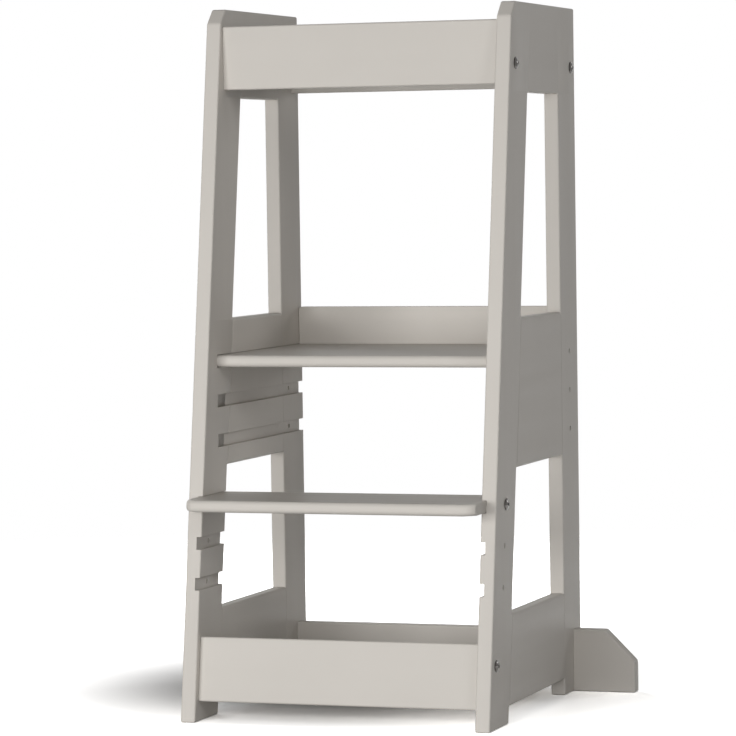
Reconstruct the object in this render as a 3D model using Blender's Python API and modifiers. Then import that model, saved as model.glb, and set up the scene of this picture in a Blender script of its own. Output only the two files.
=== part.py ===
"""Learning tower: two raked side frames, four rails, a platform with its guard, a step and outriggers.

Metres, +Z up, the climbing side towards -Y. Distances back to front are "depths", counted forward
from the plane of the rear legs' back edges, and heights are counted up from the floor.
"""

import math

import bmesh
import bpy
from mathutils import Matrix, Vector

# Side frames
HEIGHT = 0.900
WIDTH = 0.407
BOARD = 0.0195
FRONT_LEG_FOOT_DEPTH = 0.422
FRONT_LEG_TOP_DEPTH = 0.2865
FRONT_LEG_WIDTH = 0.082
BACK_LEG_WIDTH = 0.080
TOP_CORNER_DROP = 0.0186
TOP_CORNER_SETBACK = 0.0120
TOP_PANEL_HEIGHT = 0.113
MID_PANEL_BOTTOM = 0.316
MID_PANEL_HEIGHT = 0.187
BOTTOM_PANEL_BOTTOM = 0.021
BOTTOM_PANEL_HEIGHT = 0.1135
TENON_THICKNESS = 0.006
TENON_LENGTH = 0.012
TENON_SHOULDER = 0.014
TENON_COVER = 0.004
EDGE_RADIUS = 0.0025

# Rails between the side frames
RAIL_THICKNESS = 0.019
TOP_RAIL_HEIGHT = 0.081
TOP_RAIL_DROP = 0.0225
TOP_FRONT_RAIL_RECESS = 0.0064
BACK_RAIL_INSET = 0.0105
BOTTOM_FRONT_RAIL_HEIGHT = 0.0815
BOTTOM_FRONT_RAIL_MIDDLE = 0.0661
BOTTOM_FRONT_RAIL_RECESS = 0.010
BOTTOM_BACK_RAIL_HEIGHT = 0.062
BOTTOM_BACK_RAIL_INSET = 0.019

# Outriggers on the back legs, in line with the bottom back rail
OUTRIGGER_WIDTH = 0.0835
OUTRIGGER_HEIGHT = 0.0825
OUTRIGGER_CUT = 0.0405

# Standing platform, its guard and the step, with the grooves that carry them
PLATFORM_THICKNESS = 0.015
PLATFORM_TOP = 0.458
PLATFORM_NOSE_DEPTH = 0.3225
PLATFORM_REAR_INSET = 0.002
GUARD_THICKNESS = 0.012
GUARD_HEIGHT = 0.0505
GUARD_INSET = 0.0005
GUARD_CORNER_RADIUS = 0.004
STEP_THICKNESS = 0.015
STEP_TOP = 0.282
STEP_NOSE_DEPTH = 0.435
STEP_BEHIND_BOLT = 0.0415
STEP_CORNER_CUT = 0.012
NOSE_RADIUS = 0.006
SHELF_EDGE_RADIUS = 0.0015
GROOVE_DEPTH = 0.0065
GROOVE_SPACING = 0.051
GROOVE_LEVELS = 3

# Fasteners
BOLT_DIAMETER = 0.006
BOLT_HEAD_DIAMETER = 0.015
BOLT_HEAD_HEIGHT = 0.0036
BOLT_HEAD_RIM = 0.0010
BOLT_SOCKET_ACROSS_FLATS = 0.004
BOLT_SOCKET_DEPTH = 0.0022
BOLT_NUT_SETBACK = 0.035
STEP_NUT_SETBACK = 0.028
BOLT_OVERRUN = 0.007
BORE_OVERRUN = 0.003
BARREL_NUT_DIAMETER = 0.010
BARREL_NUT_COVER = 0.0025
BOLT_OFFSET = 0.0145
STUD_OFFSET = 0.012
DOWEL_DIAMETER = 0.008
DOWEL_IN_SIDE = 0.011
DOWEL_IN_RAIL = 0.023
DOWEL_IN_OUTRIGGER = 0.020
DOWEL_POINT = 0.0008
PLATFORM_BORE_LENGTH = 0.030
SCREW_DIAMETER = 0.004
SCREW_HEAD_DIAMETER = 0.008
SCREW_HEAD_HEIGHT = 0.0024
SCREW_IN_GUARD = 0.021
SCREW_POINT = 0.005
SCREW_SPACING = 0.125
SCREW_COUNT = 3

# Clearances between pieces
SEAT_GAP = 0.0003
GROOVE_PLAY = 0.0004
END_PLAY = 0.0005
BORE_PLAY = 0.0003
OVERCUT = 0.004

# Fineness of the faceted shapes
EDGE_SEGMENTS = 3
SHELF_EDGE_SEGMENTS = 2
NOSE_SEGMENTS = 5
BORE_SIDES = 12
NUT_SIDES = 16
HEAD_STEPS = 20
HEAD_ARC_POINTS = 4

# Sizes worked out from the ones above
REAR_Y = STEP_NOSE_DEPTH / 2
OUTER_X = WIDTH / 2
INNER_X = OUTER_X - BOARD
GROOVE_FLOOR_X = INNER_X + GROOVE_DEPTH
SHELF_END_X = GROOVE_FLOOR_X - END_PLAY
RAIL_END_X = INNER_X - SEAT_GAP
RAKE = (FRONT_LEG_FOOT_DEPTH - FRONT_LEG_TOP_DEPTH) / HEIGHT
RAKE_ANGLE = math.atan(RAKE)
FRONT_LEG_SPAN = FRONT_LEG_WIDTH / math.cos(RAKE_ANGLE)
TOP_PANEL_BOTTOM = HEIGHT - TOP_PANEL_HEIGHT
TOP_RAIL_TOP = HEIGHT - TOP_RAIL_DROP
TOP_RAIL_BOTTOM = TOP_RAIL_TOP - TOP_RAIL_HEIGHT
TOP_RAIL_MIDDLE = TOP_RAIL_TOP - TOP_RAIL_HEIGHT / 2
TOP_FRONT_RAIL_DEPTH = FRONT_LEG_FOOT_DEPTH - RAKE * TOP_RAIL_TOP - TOP_FRONT_RAIL_RECESS
BOTTOM_BACK_RAIL_BOTTOM = OUTRIGGER_HEIGHT - BOTTOM_BACK_RAIL_HEIGHT
BOTTOM_BACK_RAIL_MIDDLE = OUTRIGGER_HEIGHT - BOTTOM_BACK_RAIL_HEIGHT / 2
PLATFORM_MIDDLE_Z = PLATFORM_TOP - PLATFORM_THICKNESS / 2
STEP_MIDDLE_Z = STEP_TOP - STEP_THICKNESS / 2
STEP_BOLT_DEPTH = FRONT_LEG_FOOT_DEPTH - RAKE * STEP_MIDDLE_Z - FRONT_LEG_SPAN / 2
STEP_BACK_DEPTH = STEP_BOLT_DEPTH - STEP_BEHIND_BOLT
BOLT_BORE_RADIUS = BOLT_DIAMETER / 2 + BORE_PLAY
NUT_BORE_RADIUS = BARREL_NUT_DIAMETER / 2 + BORE_PLAY
DOWEL_BORE_RADIUS = DOWEL_DIAMETER / 2 + BORE_PLAY
SCREW_BORE_RADIUS = SCREW_DIAMETER / 2 + BORE_PLAY

LACQUER = ((0.597, 0.565, 0.521, 1.0), 0.42, 0.0)
BOLT_STEEL = ((0.78, 0.78, 0.80, 1.0), 0.22, 1.0)
ZINC = ((0.62, 0.62, 0.64, 1.0), 0.38, 1.0)
BEECH = ((0.62, 0.43, 0.26, 1.0), 0.60, 0.0)

SIDES = {"left": -1, "right": 1}


def clear_scene():
    """Remove every object and collection left in the file."""
    for leftover in list(bpy.data.objects):
        bpy.data.objects.remove(leftover, do_unlink=True)
    for leftover in list(bpy.data.collections):
        bpy.data.collections.remove(leftover)


def new_collection(name):
    """Make a collection under the scene."""
    collection = bpy.data.collections.new(name)
    bpy.context.scene.collection.children.link(collection)
    return collection


clear_scene()
TOWER = new_collection("learning_tower")
CUTTERS = new_collection("cutters")


def to_y(depth):
    """World Y of a depth counted forward from the rear legs' back edges."""
    return REAR_Y - depth


def leg_front(z):
    """Depth of the front leg's front edge at a height."""
    return FRONT_LEG_FOOT_DEPTH - RAKE * z


def leg_back(z):
    """Depth of the front leg's back edge at a height."""
    return leg_front(z) - FRONT_LEG_SPAN


def leg_middle(z):
    """Depth of the front leg's centre line at a height."""
    return leg_front(z) - FRONT_LEG_SPAN / 2


def finish_material(name, finish):
    """Principled material of one piece."""
    colour, roughness, metallic = finish
    material = bpy.data.materials.new(name)
    material.use_nodes = True
    shader = material.node_tree.nodes["Principled BSDF"]
    shader.inputs["Base Color"].default_value = colour
    shader.inputs["Roughness"].default_value = roughness
    shader.inputs["Metallic"].default_value = metallic
    material.diffuse_color = colour
    return material


def add_object(name, mesh, finish=None):
    """Put a mesh in the scene: a piece where it has a finish, else a cutter."""
    piece = bpy.data.objects.new(name, mesh)
    if finish is None:
        CUTTERS.objects.link(piece)
        piece.hide_render = True
        piece.display_type = "WIRE"
    else:
        TOWER.objects.link(piece)
        mesh.materials.append(finish_material(name + "_finish", finish))
    return piece


def box(name, low, high, finish=None):
    """Box between two corners, with its origin at its middle."""
    low = Vector(low)
    high = Vector(high)
    mesh = bpy.data.meshes.new(name)
    work = bmesh.new()
    bmesh.ops.create_cube(work, size=1.0, matrix=Matrix.Diagonal((*(high - low), 1.0)))
    work.to_mesh(mesh)
    work.free()
    piece = add_object(name, mesh, finish)
    piece.location = (low + high) / 2
    return piece


def rod(name, radius, length, middle, direction, finish=None, sides=BORE_SIDES):
    """Cylinder of a given length round a middle point, along a direction."""
    mesh = bpy.data.meshes.new(name)
    work = bmesh.new()
    bmesh.ops.create_cone(
        work, cap_ends=True, segments=sides, radius1=radius, radius2=radius, depth=length
    )
    work.to_mesh(mesh)
    work.free()
    piece = add_object(name, mesh, finish)
    piece.rotation_euler = Vector(direction).to_track_quat("Z", "Y").to_euler()
    piece.location = middle
    return piece


def rod_along_x(name, radius, x_start, x_end, depth, z, finish=None, sides=BORE_SIDES):
    """Cylinder between two X places at a depth and a height."""
    middle = ((x_start + x_end) / 2, to_y(depth), z)
    return rod(name, radius, abs(x_end - x_start), middle, (1, 0, 0), finish, sides)


def plate(name, outline, x_low, x_high, finish=None):
    """Flat plate in an upright plane across X, from an outline of (depth, height) points."""
    curve = bpy.data.curves.new(name + "_outline", "CURVE")
    curve.dimensions = "2D"
    curve.fill_mode = "BOTH"
    curve.render_resolution_u = 0
    curve.extrude = (x_high - x_low) / 2
    spline = curve.splines.new("POLY")
    spline.points.add(len(outline) - 1)
    for point, (depth, z) in zip(spline.points, outline):
        point.co = (to_y(depth), z, 0.0, 1.0)
    spline.use_cyclic_u = True
    middle = ((x_low + x_high) / 2, 0, 0)
    return mesh_from_outline(name, curve, middle, (math.pi / 2, 0, math.pi / 2), finish)


def mesh_from_outline(name, curve, location, rotation, finish):
    """Turn a filled outline into a closed mesh piece and remove the curve."""
    outline = bpy.data.objects.new(curve.name, curve)
    CUTTERS.objects.link(outline)
    bpy.context.view_layer.update()
    mesh = bpy.data.meshes.new_from_object(outline.evaluated_get(bpy.context.evaluated_depsgraph_get()))
    mesh.name = name
    bpy.data.objects.remove(outline, do_unlink=True)
    bpy.data.curves.remove(curve)
    work = bmesh.new()
    work.from_mesh(mesh)
    bmesh.ops.remove_doubles(work, verts=work.verts, dist=0.00001)
    flat_edges = [edge for edge in work.edges if edge.calc_face_angle(0.0) < 0.001]
    bmesh.ops.dissolve_edges(work, edges=flat_edges, use_verts=False)
    bmesh.ops.recalc_face_normals(work, faces=work.faces)
    work.to_mesh(mesh)
    work.free()
    piece = add_object(name, mesh, finish)
    piece.location = location
    piece.rotation_euler = rotation
    return piece


def round_edges(piece, radius, segments, chosen):
    """Round the edges of a piece whose two ends pass a test on their places in the world."""
    bpy.context.view_layer.update()
    place = piece.matrix_world
    work = bmesh.new()
    work.from_mesh(piece.data)
    picked = [
        edge
        for edge in work.edges
        if edge.calc_face_angle(0.0) > 0.2
        and chosen(place @ edge.verts[0].co, place @ edge.verts[1].co)
    ]
    bmesh.ops.bevel(
        work,
        geom=picked,
        offset=radius,
        offset_type="OFFSET",
        segments=segments,
        profile=0.5,
        affect="EDGES",
        clamp_overlap=True,
        material=-1,
    )
    work.to_mesh(piece.data)
    work.free()


def along_rail(start, end):
    """Choose a rail's long edges; its ends stay square where they meet the side frames."""
    return abs(start.x - end.x) > SEAT_GAP


def cut(piece, *cutters):
    """Cut shapes out of a piece."""
    for cutter in cutters:
        modifier = piece.modifiers.new("cut_" + cutter.name, "BOOLEAN")
        modifier.operation = "DIFFERENCE"
        modifier.solver = "EXACT"
        modifier.object = cutter


def join(piece, tool):
    """Fuse a shape with a piece."""
    modifier = piece.modifiers.new("join_" + tool.name, "BOOLEAN")
    modifier.operation = "UNION"
    modifier.solver = "EXACT"
    modifier.object = tool


def turned(name, profile, finish, steps=HEAD_STEPS):
    """Turned piece from a profile of (radius, height) points, listed from the top down."""
    mesh = bpy.data.meshes.new(name)
    mesh.from_pydata(
        [(radius, 0.0, height) for radius, height in profile],
        [(index, index + 1) for index in range(len(profile) - 1)],
        [],
    )
    piece = add_object(name, mesh, finish)
    spin = piece.modifiers.new("turn", "SCREW")
    spin.axis = "Z"
    spin.angle = math.tau
    spin.steps = steps
    spin.render_steps = steps
    spin.use_merge_vertices = True
    spin.merge_threshold = 0.00001
    return piece


# Panels of a side frame, and the tenons that hold them between the legs


def panel_outline(bottom, top, gap):
    """Outline of a panel that fills the space between the two legs of a side."""
    return [
        (leg_back(bottom) - gap, bottom),
        (leg_back(top) - gap, top),
        (BACK_LEG_WIDTH + gap, top),
        (BACK_LEG_WIDTH + gap, bottom),
    ]


def tenon_plate(name, side, bottom, top, play):
    """Thin plate through a panel whose ends stand out of it as tenons."""
    low = bottom + TENON_SHOULDER - play
    high = top - TENON_SHOULDER + play
    reach = TENON_LENGTH + play
    outline = [
        (leg_back(low) + reach, low),
        (leg_back(high) + reach, high),
        (BACK_LEG_WIDTH - reach, high),
        (BACK_LEG_WIDTH - reach, low),
    ]
    outer = OUTER_X - TENON_COVER + play
    inner = OUTER_X - TENON_COVER - TENON_THICKNESS - play
    x_low, x_high = sorted((side * inner, side * outer))
    return plate(name, outline, x_low, x_high)


def side_x(side):
    """Lowest and highest X of a side frame's boards."""
    return sorted((side * INNER_X, side * OUTER_X))


def make_panel(side_name, part, bottom, top, ends_rounded):
    """One panel of a side frame with its tenons, and the cutter of their mortises."""
    side = SIDES[side_name]
    panel = plate(
        f"{part}_{side_name}", panel_outline(bottom, top, SEAT_GAP), *side_x(side), LACQUER
    )

    def on_rounded_edge(start, end):
        level = abs(start.z - end.z) < SEAT_GAP
        along_board = abs(start.x - end.x) < SEAT_GAP
        return along_board and (level or ends_rounded)

    round_edges(panel, EDGE_RADIUS, EDGE_SEGMENTS, on_rounded_edge)
    join(panel, tenon_plate(f"tenon_of_{part}_{side_name}", side, bottom, top, 0.0))
    mortise = tenon_plate(f"mortise_of_{part}_{side_name}", side, bottom, top, BORE_PLAY)
    return panel, mortise


def away_from_top_seam(start, end):
    """Choose a leg's edges, except the inner ones that meet the top panel flush."""
    inner_line = 0
    for point in (start, end):
        depth = REAR_Y - point.y
        on_front_leg = abs(depth - leg_back(point.z)) < SEAT_GAP
        on_back_leg = abs(depth - BACK_LEG_WIDTH) < SEAT_GAP
        if (on_front_leg or on_back_leg) and point.z > TOP_PANEL_BOTTOM - SEAT_GAP:
            inner_line += 1
    return inner_line < 2


def make_front_leg(side_name):
    """Raked front leg with its cut-off top corner."""
    corner_z = HEIGHT - TOP_CORNER_DROP
    outline = [
        (leg_front(0), 0),
        (leg_front(corner_z), corner_z),
        (leg_front(HEIGHT) - TOP_CORNER_SETBACK, HEIGHT),
        (leg_back(HEIGHT), HEIGHT),
        (leg_back(TOP_PANEL_BOTTOM), TOP_PANEL_BOTTOM),
        (leg_back(0), 0),
    ]
    leg = plate(f"front_leg_{side_name}", outline, *side_x(SIDES[side_name]), LACQUER)

    def chosen(start, end):
        across = abs(start.x - end.x) > SEAT_GAP
        at_top = start.z > TOP_PANEL_BOTTOM
        return away_from_top_seam(start, end) and not (across and at_top)

    round_edges(leg, EDGE_RADIUS, EDGE_SEGMENTS, chosen)
    return leg


def make_back_leg(side_name):
    """Upright back leg."""
    outline = [
        (0, 0),
        (0, HEIGHT),
        (BACK_LEG_WIDTH, HEIGHT),
        (BACK_LEG_WIDTH, TOP_PANEL_BOTTOM),
        (BACK_LEG_WIDTH, 0),
    ]
    leg = plate(f"back_leg_{side_name}", outline, *side_x(SIDES[side_name]), LACQUER)
    round_edges(leg, EDGE_RADIUS, EDGE_SEGMENTS, away_from_top_seam)
    return leg


def groove_cutters(name, thickness, top, front_depth, back_depth):
    """Cutters of the level grooves of a shelf, one for each height it can be set at."""
    cutters = []
    for level in range(GROOVE_LEVELS):
        high = top - level * GROOVE_SPACING + GROOVE_PLAY
        low = high - thickness - 2 * GROOVE_PLAY
        cutters.append(
            box(
                f"{name}_{level + 1}",
                (-GROOVE_FLOOR_X, to_y(front_depth), low),
                (GROOVE_FLOOR_X, to_y(back_depth), high),
            )
        )
    return cutters


def make_side(side_name, platform_grooves, step_grooves):
    """The five boards of one side frame, grooved for the shelves."""
    front = make_front_leg(side_name)
    back = make_back_leg(side_name)
    top_panel, top_mortise = make_panel(side_name, "top_panel", TOP_PANEL_BOTTOM, HEIGHT, False)
    mid_panel, mid_mortise = make_panel(
        side_name, "mid_panel", MID_PANEL_BOTTOM, MID_PANEL_BOTTOM + MID_PANEL_HEIGHT, True
    )
    bottom_panel, bottom_mortise = make_panel(
        side_name,
        "bottom_panel",
        BOTTOM_PANEL_BOTTOM,
        BOTTOM_PANEL_BOTTOM + BOTTOM_PANEL_HEIGHT,
        True,
    )
    for leg in (front, back):
        cut(leg, top_mortise, mid_mortise, bottom_mortise)
    for board in (front, mid_panel, back):
        cut(board, *platform_grooves)
    cut(front, *step_grooves)
    return {
        "front": front,
        "back": back,
        "top": top_panel,
        "mid": mid_panel,
        "bottom": bottom_panel,
    }


# Rails, outriggers, platform, guard and step


def make_upright_rail(name, front_depth, bottom, height):
    """Upright rail between the side frames."""
    rail = box(
        name,
        (-RAIL_END_X, to_y(front_depth), bottom),
        (RAIL_END_X, to_y(front_depth - RAIL_THICKNESS), bottom + height),
        LACQUER,
    )
    round_edges(rail, EDGE_RADIUS, EDGE_SEGMENTS, along_rail)
    return rail


def raked_rail_point(along, across):
    """Depth and height of a point of the raked rail, from its front face's middle."""
    sine = math.sin(RAKE_ANGLE)
    cosine = math.cos(RAKE_ANGLE)
    face_depth = leg_front(BOTTOM_FRONT_RAIL_MIDDLE) - BOTTOM_FRONT_RAIL_RECESS / cosine
    depth = face_depth - along * sine - across * cosine
    return depth, BOTTOM_FRONT_RAIL_MIDDLE + along * cosine - across * sine


def make_raked_rail(name):
    """Bottom front rail, which leans with the front legs."""
    half = RAIL_THICKNESS / 2
    depth, z = raked_rail_point(0, half)
    rail = box(
        name,
        (-RAIL_END_X, -half, -BOTTOM_FRONT_RAIL_HEIGHT / 2),
        (RAIL_END_X, half, BOTTOM_FRONT_RAIL_HEIGHT / 2),
        LACQUER,
    )
    rail.location = (0, to_y(depth), z)
    rail.rotation_euler = (-RAKE_ANGLE, 0, 0)
    round_edges(rail, EDGE_RADIUS, EDGE_SEGMENTS, along_rail)
    return rail


def make_outrigger(side_name):
    """Foot board that widens the stand behind, with its sloped outer corner."""
    side = SIDES[side_name]
    x_inner = OUTER_X + SEAT_GAP
    x_outer = OUTER_X + OUTRIGGER_WIDTH
    front_depth = BOTTOM_BACK_RAIL_INSET + RAIL_THICKNESS
    x_low, x_high = sorted((side * x_inner, side * x_outer))
    board = box(
        f"outrigger_{side_name}",
        (x_low, to_y(front_depth), 0),
        (x_high, to_y(BOTTOM_BACK_RAIL_INSET), OUTRIGGER_HEIGHT),
        LACQUER,
    )
    bpy.context.view_layer.update()
    work = bmesh.new()
    work.from_mesh(board.data)
    corner = Vector((side * (x_outer - OUTRIGGER_CUT), 0, OUTRIGGER_HEIGHT))
    sliced = bmesh.ops.bisect_plane(
        work,
        geom=work.verts[:] + work.edges[:] + work.faces[:],
        plane_co=board.matrix_world.inverted() @ corner,
        plane_no=Vector((side, 0, 1)).normalized(),
        clear_outer=True,
    )
    cut_edges = [item for item in sliced["geom_cut"] if isinstance(item, bmesh.types.BMEdge)]
    bmesh.ops.edgeloop_fill(work, edges=cut_edges)
    bmesh.ops.recalc_face_normals(work, faces=work.faces)
    work.to_mesh(board.data)
    work.free()

    def off_seat(start, end):
        return max(abs(start.x), abs(end.x)) > x_inner + SEAT_GAP

    round_edges(board, EDGE_RADIUS, EDGE_SEGMENTS, off_seat)
    return board


def make_platform():
    """Standing platform with a round nose."""
    platform = box(
        "platform",
        (-SHELF_END_X, to_y(PLATFORM_NOSE_DEPTH), PLATFORM_TOP - PLATFORM_THICKNESS),
        (SHELF_END_X, to_y(PLATFORM_REAR_INSET), PLATFORM_TOP),
        LACQUER,
    )
    nose_y = to_y(PLATFORM_NOSE_DEPTH)

    def on_nose(start, end):
        forward = max(start.y, end.y) < nose_y + SEAT_GAP
        return forward and abs(start.z - end.z) < SEAT_GAP

    def off_nose(start, end):
        return max(abs(start.x), abs(end.x)) > SHELF_END_X - SEAT_GAP or min(start.y, end.y) > 0

    round_edges(platform, NOSE_RADIUS, NOSE_SEGMENTS, on_nose)
    round_edges(platform, SHELF_EDGE_RADIUS, SHELF_EDGE_SEGMENTS, off_nose)
    return platform


def make_guard():
    """Low board that stands on the platform's back edge."""
    half_length = INNER_X - GUARD_INSET
    back_depth = PLATFORM_REAR_INSET
    bottom = PLATFORM_TOP + SEAT_GAP
    top = PLATFORM_TOP + GUARD_HEIGHT
    guard = box(
        "platform_guard",
        (-half_length, to_y(back_depth + GUARD_THICKNESS), bottom),
        (half_length, to_y(back_depth), top),
        LACQUER,
    )

    def at_top_corner(start, end):
        return min(start.z, end.z) > top - SEAT_GAP and abs(start.x - end.x) < SEAT_GAP

    def above_seat(start, end):
        return max(start.z, end.z) > bottom + SEAT_GAP

    round_edges(guard, GUARD_CORNER_RADIUS, EDGE_SEGMENTS, at_top_corner)
    round_edges(guard, SHELF_EDGE_RADIUS, SHELF_EDGE_SEGMENTS, above_seat)
    return guard


def make_step():
    """Step with cut front corners and a round nose that follows them."""
    front_y = to_y(STEP_NOSE_DEPTH)
    back_y = to_y(STEP_BACK_DEPTH)
    curve = bpy.data.curves.new("step_outline", "CURVE")
    curve.dimensions = "2D"
    curve.fill_mode = "BOTH"
    curve.render_resolution_u = 0
    curve.extrude = STEP_THICKNESS / 2
    outline = [
        (-SHELF_END_X, front_y + STEP_CORNER_CUT),
        (-SHELF_END_X + STEP_CORNER_CUT, front_y),
        (SHELF_END_X - STEP_CORNER_CUT, front_y),
        (SHELF_END_X, front_y + STEP_CORNER_CUT),
        (SHELF_END_X, back_y),
        (-SHELF_END_X, back_y),
    ]
    spline = curve.splines.new("POLY")
    spline.points.add(len(outline) - 1)
    for point, (x, y) in zip(spline.points, outline):
        point.co = (x, y, 0.0, 1.0)
    spline.use_cyclic_u = True
    step = mesh_from_outline("step", curve, (0, 0, STEP_MIDDLE_Z), (0, 0, 0), LACQUER)

    def on_nose(start, end):
        level = abs(start.z - end.z) < SEAT_GAP
        return level and max(start.y, end.y) < front_y + STEP_CORNER_CUT + SEAT_GAP

    def off_nose(start, end):
        at_end = min(abs(start.x), abs(end.x)) > SHELF_END_X - SEAT_GAP
        return at_end or min(start.y, end.y) > back_y - SEAT_GAP

    round_edges(step, NOSE_RADIUS, NOSE_SEGMENTS, on_nose)
    round_edges(step, SHELF_EDGE_RADIUS, SHELF_EDGE_SEGMENTS, off_nose)
    return step


# Bolts, barrel nuts, dowels and screws


def make_bolt(name, side, seat_x, length, depth, z):
    """Domed bolt with a hexagon socket, its head outside the side frame."""
    radius = BOLT_HEAD_DIAMETER / 2
    dome = BOLT_HEAD_HEIGHT - BOLT_HEAD_RIM
    sphere = (radius**2 + dome**2) / (2 * dome)
    reach = math.asin(radius / sphere)
    profile = [
        (sphere * math.sin(reach * index / HEAD_ARC_POINTS),
         BOLT_HEAD_HEIGHT - sphere * (1 - math.cos(reach * index / HEAD_ARC_POINTS)))
        for index in range(HEAD_ARC_POINTS + 1)
    ]
    profile += [
        (radius, 0.0),
        (BOLT_DIAMETER / 2, 0.0),
        (BOLT_DIAMETER / 2, DOWEL_POINT - length),
        (BOLT_DIAMETER / 2 - DOWEL_POINT, -length),
        (0.0, -length),
    ]
    bolt = turned(name, profile, BOLT_STEEL)
    bolt.rotation_euler = (0, side * math.pi / 2, 0)
    bolt.location = (side * seat_x, to_y(depth), z)
    head_top_x = seat_x + BOLT_HEAD_HEIGHT
    socket = rod_along_x(
        "socket_of_" + name,
        BOLT_SOCKET_ACROSS_FLATS / math.sqrt(3),
        side * (head_top_x - BOLT_SOCKET_DEPTH),
        side * (head_top_x + OVERCUT),
        depth,
        z,
        sides=6,
    )
    cut(bolt, socket)
    return bolt


def make_nut(name, x, depth, z, direction, length, bore):
    """Barrel nut across a bolt, with its cross hole."""
    nut = rod(
        name, BARREL_NUT_DIAMETER / 2, length, (x, to_y(depth), z), direction, ZINC, NUT_SIDES
    )
    cut(nut, bore)
    return nut


def make_dowel(name, x_start, x_end, depth, z):
    """Beech dowel with pointed-off ends."""
    dowel = rod_along_x(name, DOWEL_DIAMETER / 2, x_start, x_end, depth, z, BEECH)

    def on_end(start, end):
        return abs(start.x - end.x) < SEAT_GAP

    round_edges(dowel, DOWEL_POINT, 1, on_end)
    return dowel


def blind_nut_bore(name, x, depth, z, direction, thickness):
    """Cutter of a barrel nut's blind bore, open on the board's back face."""
    towards_back = Vector(direction).normalized()
    cover = BARREL_NUT_COVER - BORE_PLAY
    length = thickness - cover + OVERCUT
    middle = Vector((x, to_y(depth), z)) + towards_back * (length / 2 + cover - thickness / 2)
    return rod(name, NUT_BORE_RADIUS, length, middle, towards_back, sides=NUT_SIDES)


def fix_rail(rail, name, side_name, side_board, middle, bolt_along, lean):
    """Bolt, barrel nut and dowel that fix one end of a rail, with their bores."""
    side = SIDES[side_name]
    label = f"{name}_{side_name}"
    middle_depth, middle_z = middle
    up = Vector((-math.sin(lean), math.cos(lean)))
    backwards = (0, math.cos(lean), -math.sin(lean))
    bolt_depth = middle_depth + bolt_along * up.x
    bolt_z = middle_z + bolt_along * up.y
    dowel_depth = middle_depth - bolt_along * up.x
    dowel_z = middle_z - bolt_along * up.y
    nut_x = RAIL_END_X - BOLT_NUT_SETBACK
    tip_x = nut_x - BOLT_OVERRUN
    seat_x = OUTER_X + SEAT_GAP
    bore = rod_along_x(
        "bolt_bore_" + label,
        BOLT_BORE_RADIUS,
        side * (tip_x - BORE_OVERRUN),
        side * (OUTER_X + OVERCUT),
        bolt_depth,
        bolt_z,
    )
    dowel_bore = rod_along_x(
        "dowel_bore_" + label,
        DOWEL_BORE_RADIUS,
        side * (RAIL_END_X - DOWEL_IN_RAIL - BORE_PLAY),
        side * (INNER_X + DOWEL_IN_SIDE + BORE_PLAY),
        dowel_depth,
        dowel_z,
    )
    nut_bore = blind_nut_bore(
        "nut_bore_" + label, side * nut_x, bolt_depth, bolt_z, backwards, RAIL_THICKNESS
    )
    cut(rail, bore, nut_bore, dowel_bore)
    cut(side_board, bore, dowel_bore)
    nut_length = RAIL_THICKNESS - 2 * BARREL_NUT_COVER
    return [
        make_bolt("bolt_" + label, side, seat_x, seat_x - tip_x, bolt_depth, bolt_z),
        make_nut(
            "barrel_nut_" + label, side * nut_x, bolt_depth, bolt_z, backwards, nut_length, bore
        ),
        make_dowel(
            "dowel_" + label,
            side * (RAIL_END_X - DOWEL_IN_RAIL),
            side * (INNER_X + DOWEL_IN_SIDE),
            dowel_depth,
            dowel_z,
        ),
    ]


def fix_outrigger(rail, outrigger, side_name, back_leg):
    """Stud, barrel nuts and long dowel that clamp an outrigger and the rail to the back leg."""
    side = SIDES[side_name]
    depth = BOTTOM_BACK_RAIL_INSET + RAIL_THICKNESS / 2
    stud_z = BOTTOM_BACK_RAIL_MIDDLE + STUD_OFFSET
    dowel_z = BOTTOM_BACK_RAIL_MIDDLE - STUD_OFFSET
    rail_nut_x = RAIL_END_X - BOLT_NUT_SETBACK
    board_nut_x = OUTER_X + SEAT_GAP + BOLT_NUT_SETBACK
    stud_start = rail_nut_x - BOLT_OVERRUN
    stud_end = board_nut_x + BOLT_OVERRUN
    bore = rod_along_x(
        f"stud_bore_{side_name}",
        BOLT_BORE_RADIUS,
        side * (stud_start - BORE_OVERRUN),
        side * (stud_end + BORE_OVERRUN),
        depth,
        stud_z,
    )
    dowel_start = RAIL_END_X - DOWEL_IN_RAIL
    dowel_end = OUTER_X + SEAT_GAP + DOWEL_IN_OUTRIGGER
    dowel_bore = rod_along_x(
        f"long_dowel_bore_{side_name}",
        DOWEL_BORE_RADIUS,
        side * (dowel_start - BORE_PLAY),
        side * (dowel_end + BORE_PLAY),
        depth,
        dowel_z,
    )
    pieces = []
    nut_length = RAIL_THICKNESS - 2 * BARREL_NUT_COVER
    backwards = (0, 1, 0)
    for board, nut_x, place in (
        (rail, rail_nut_x, "bottom_back"),
        (outrigger, board_nut_x, "outrigger"),
    ):
        label = f"{place}_{side_name}"
        nut_bore = blind_nut_bore(
            "nut_bore_" + label, side * nut_x, depth, stud_z, backwards, RAIL_THICKNESS
        )
        cut(board, bore, nut_bore, dowel_bore)
        pieces.append(
            make_nut(
                "barrel_nut_" + label, side * nut_x, depth, stud_z, backwards, nut_length, bore
            )
        )
    cut(back_leg, bore, dowel_bore)
    pieces.append(
        rod_along_x(
            f"outrigger_stud_{side_name}",
            BOLT_DIAMETER / 2,
            side * stud_start,
            side * stud_end,
            depth,
            stud_z,
            ZINC,
        )
    )
    pieces.append(
        make_dowel(
            f"outrigger_dowel_{side_name}", side * dowel_start, side * dowel_end, depth, dowel_z
        )
    )
    return pieces


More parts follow.
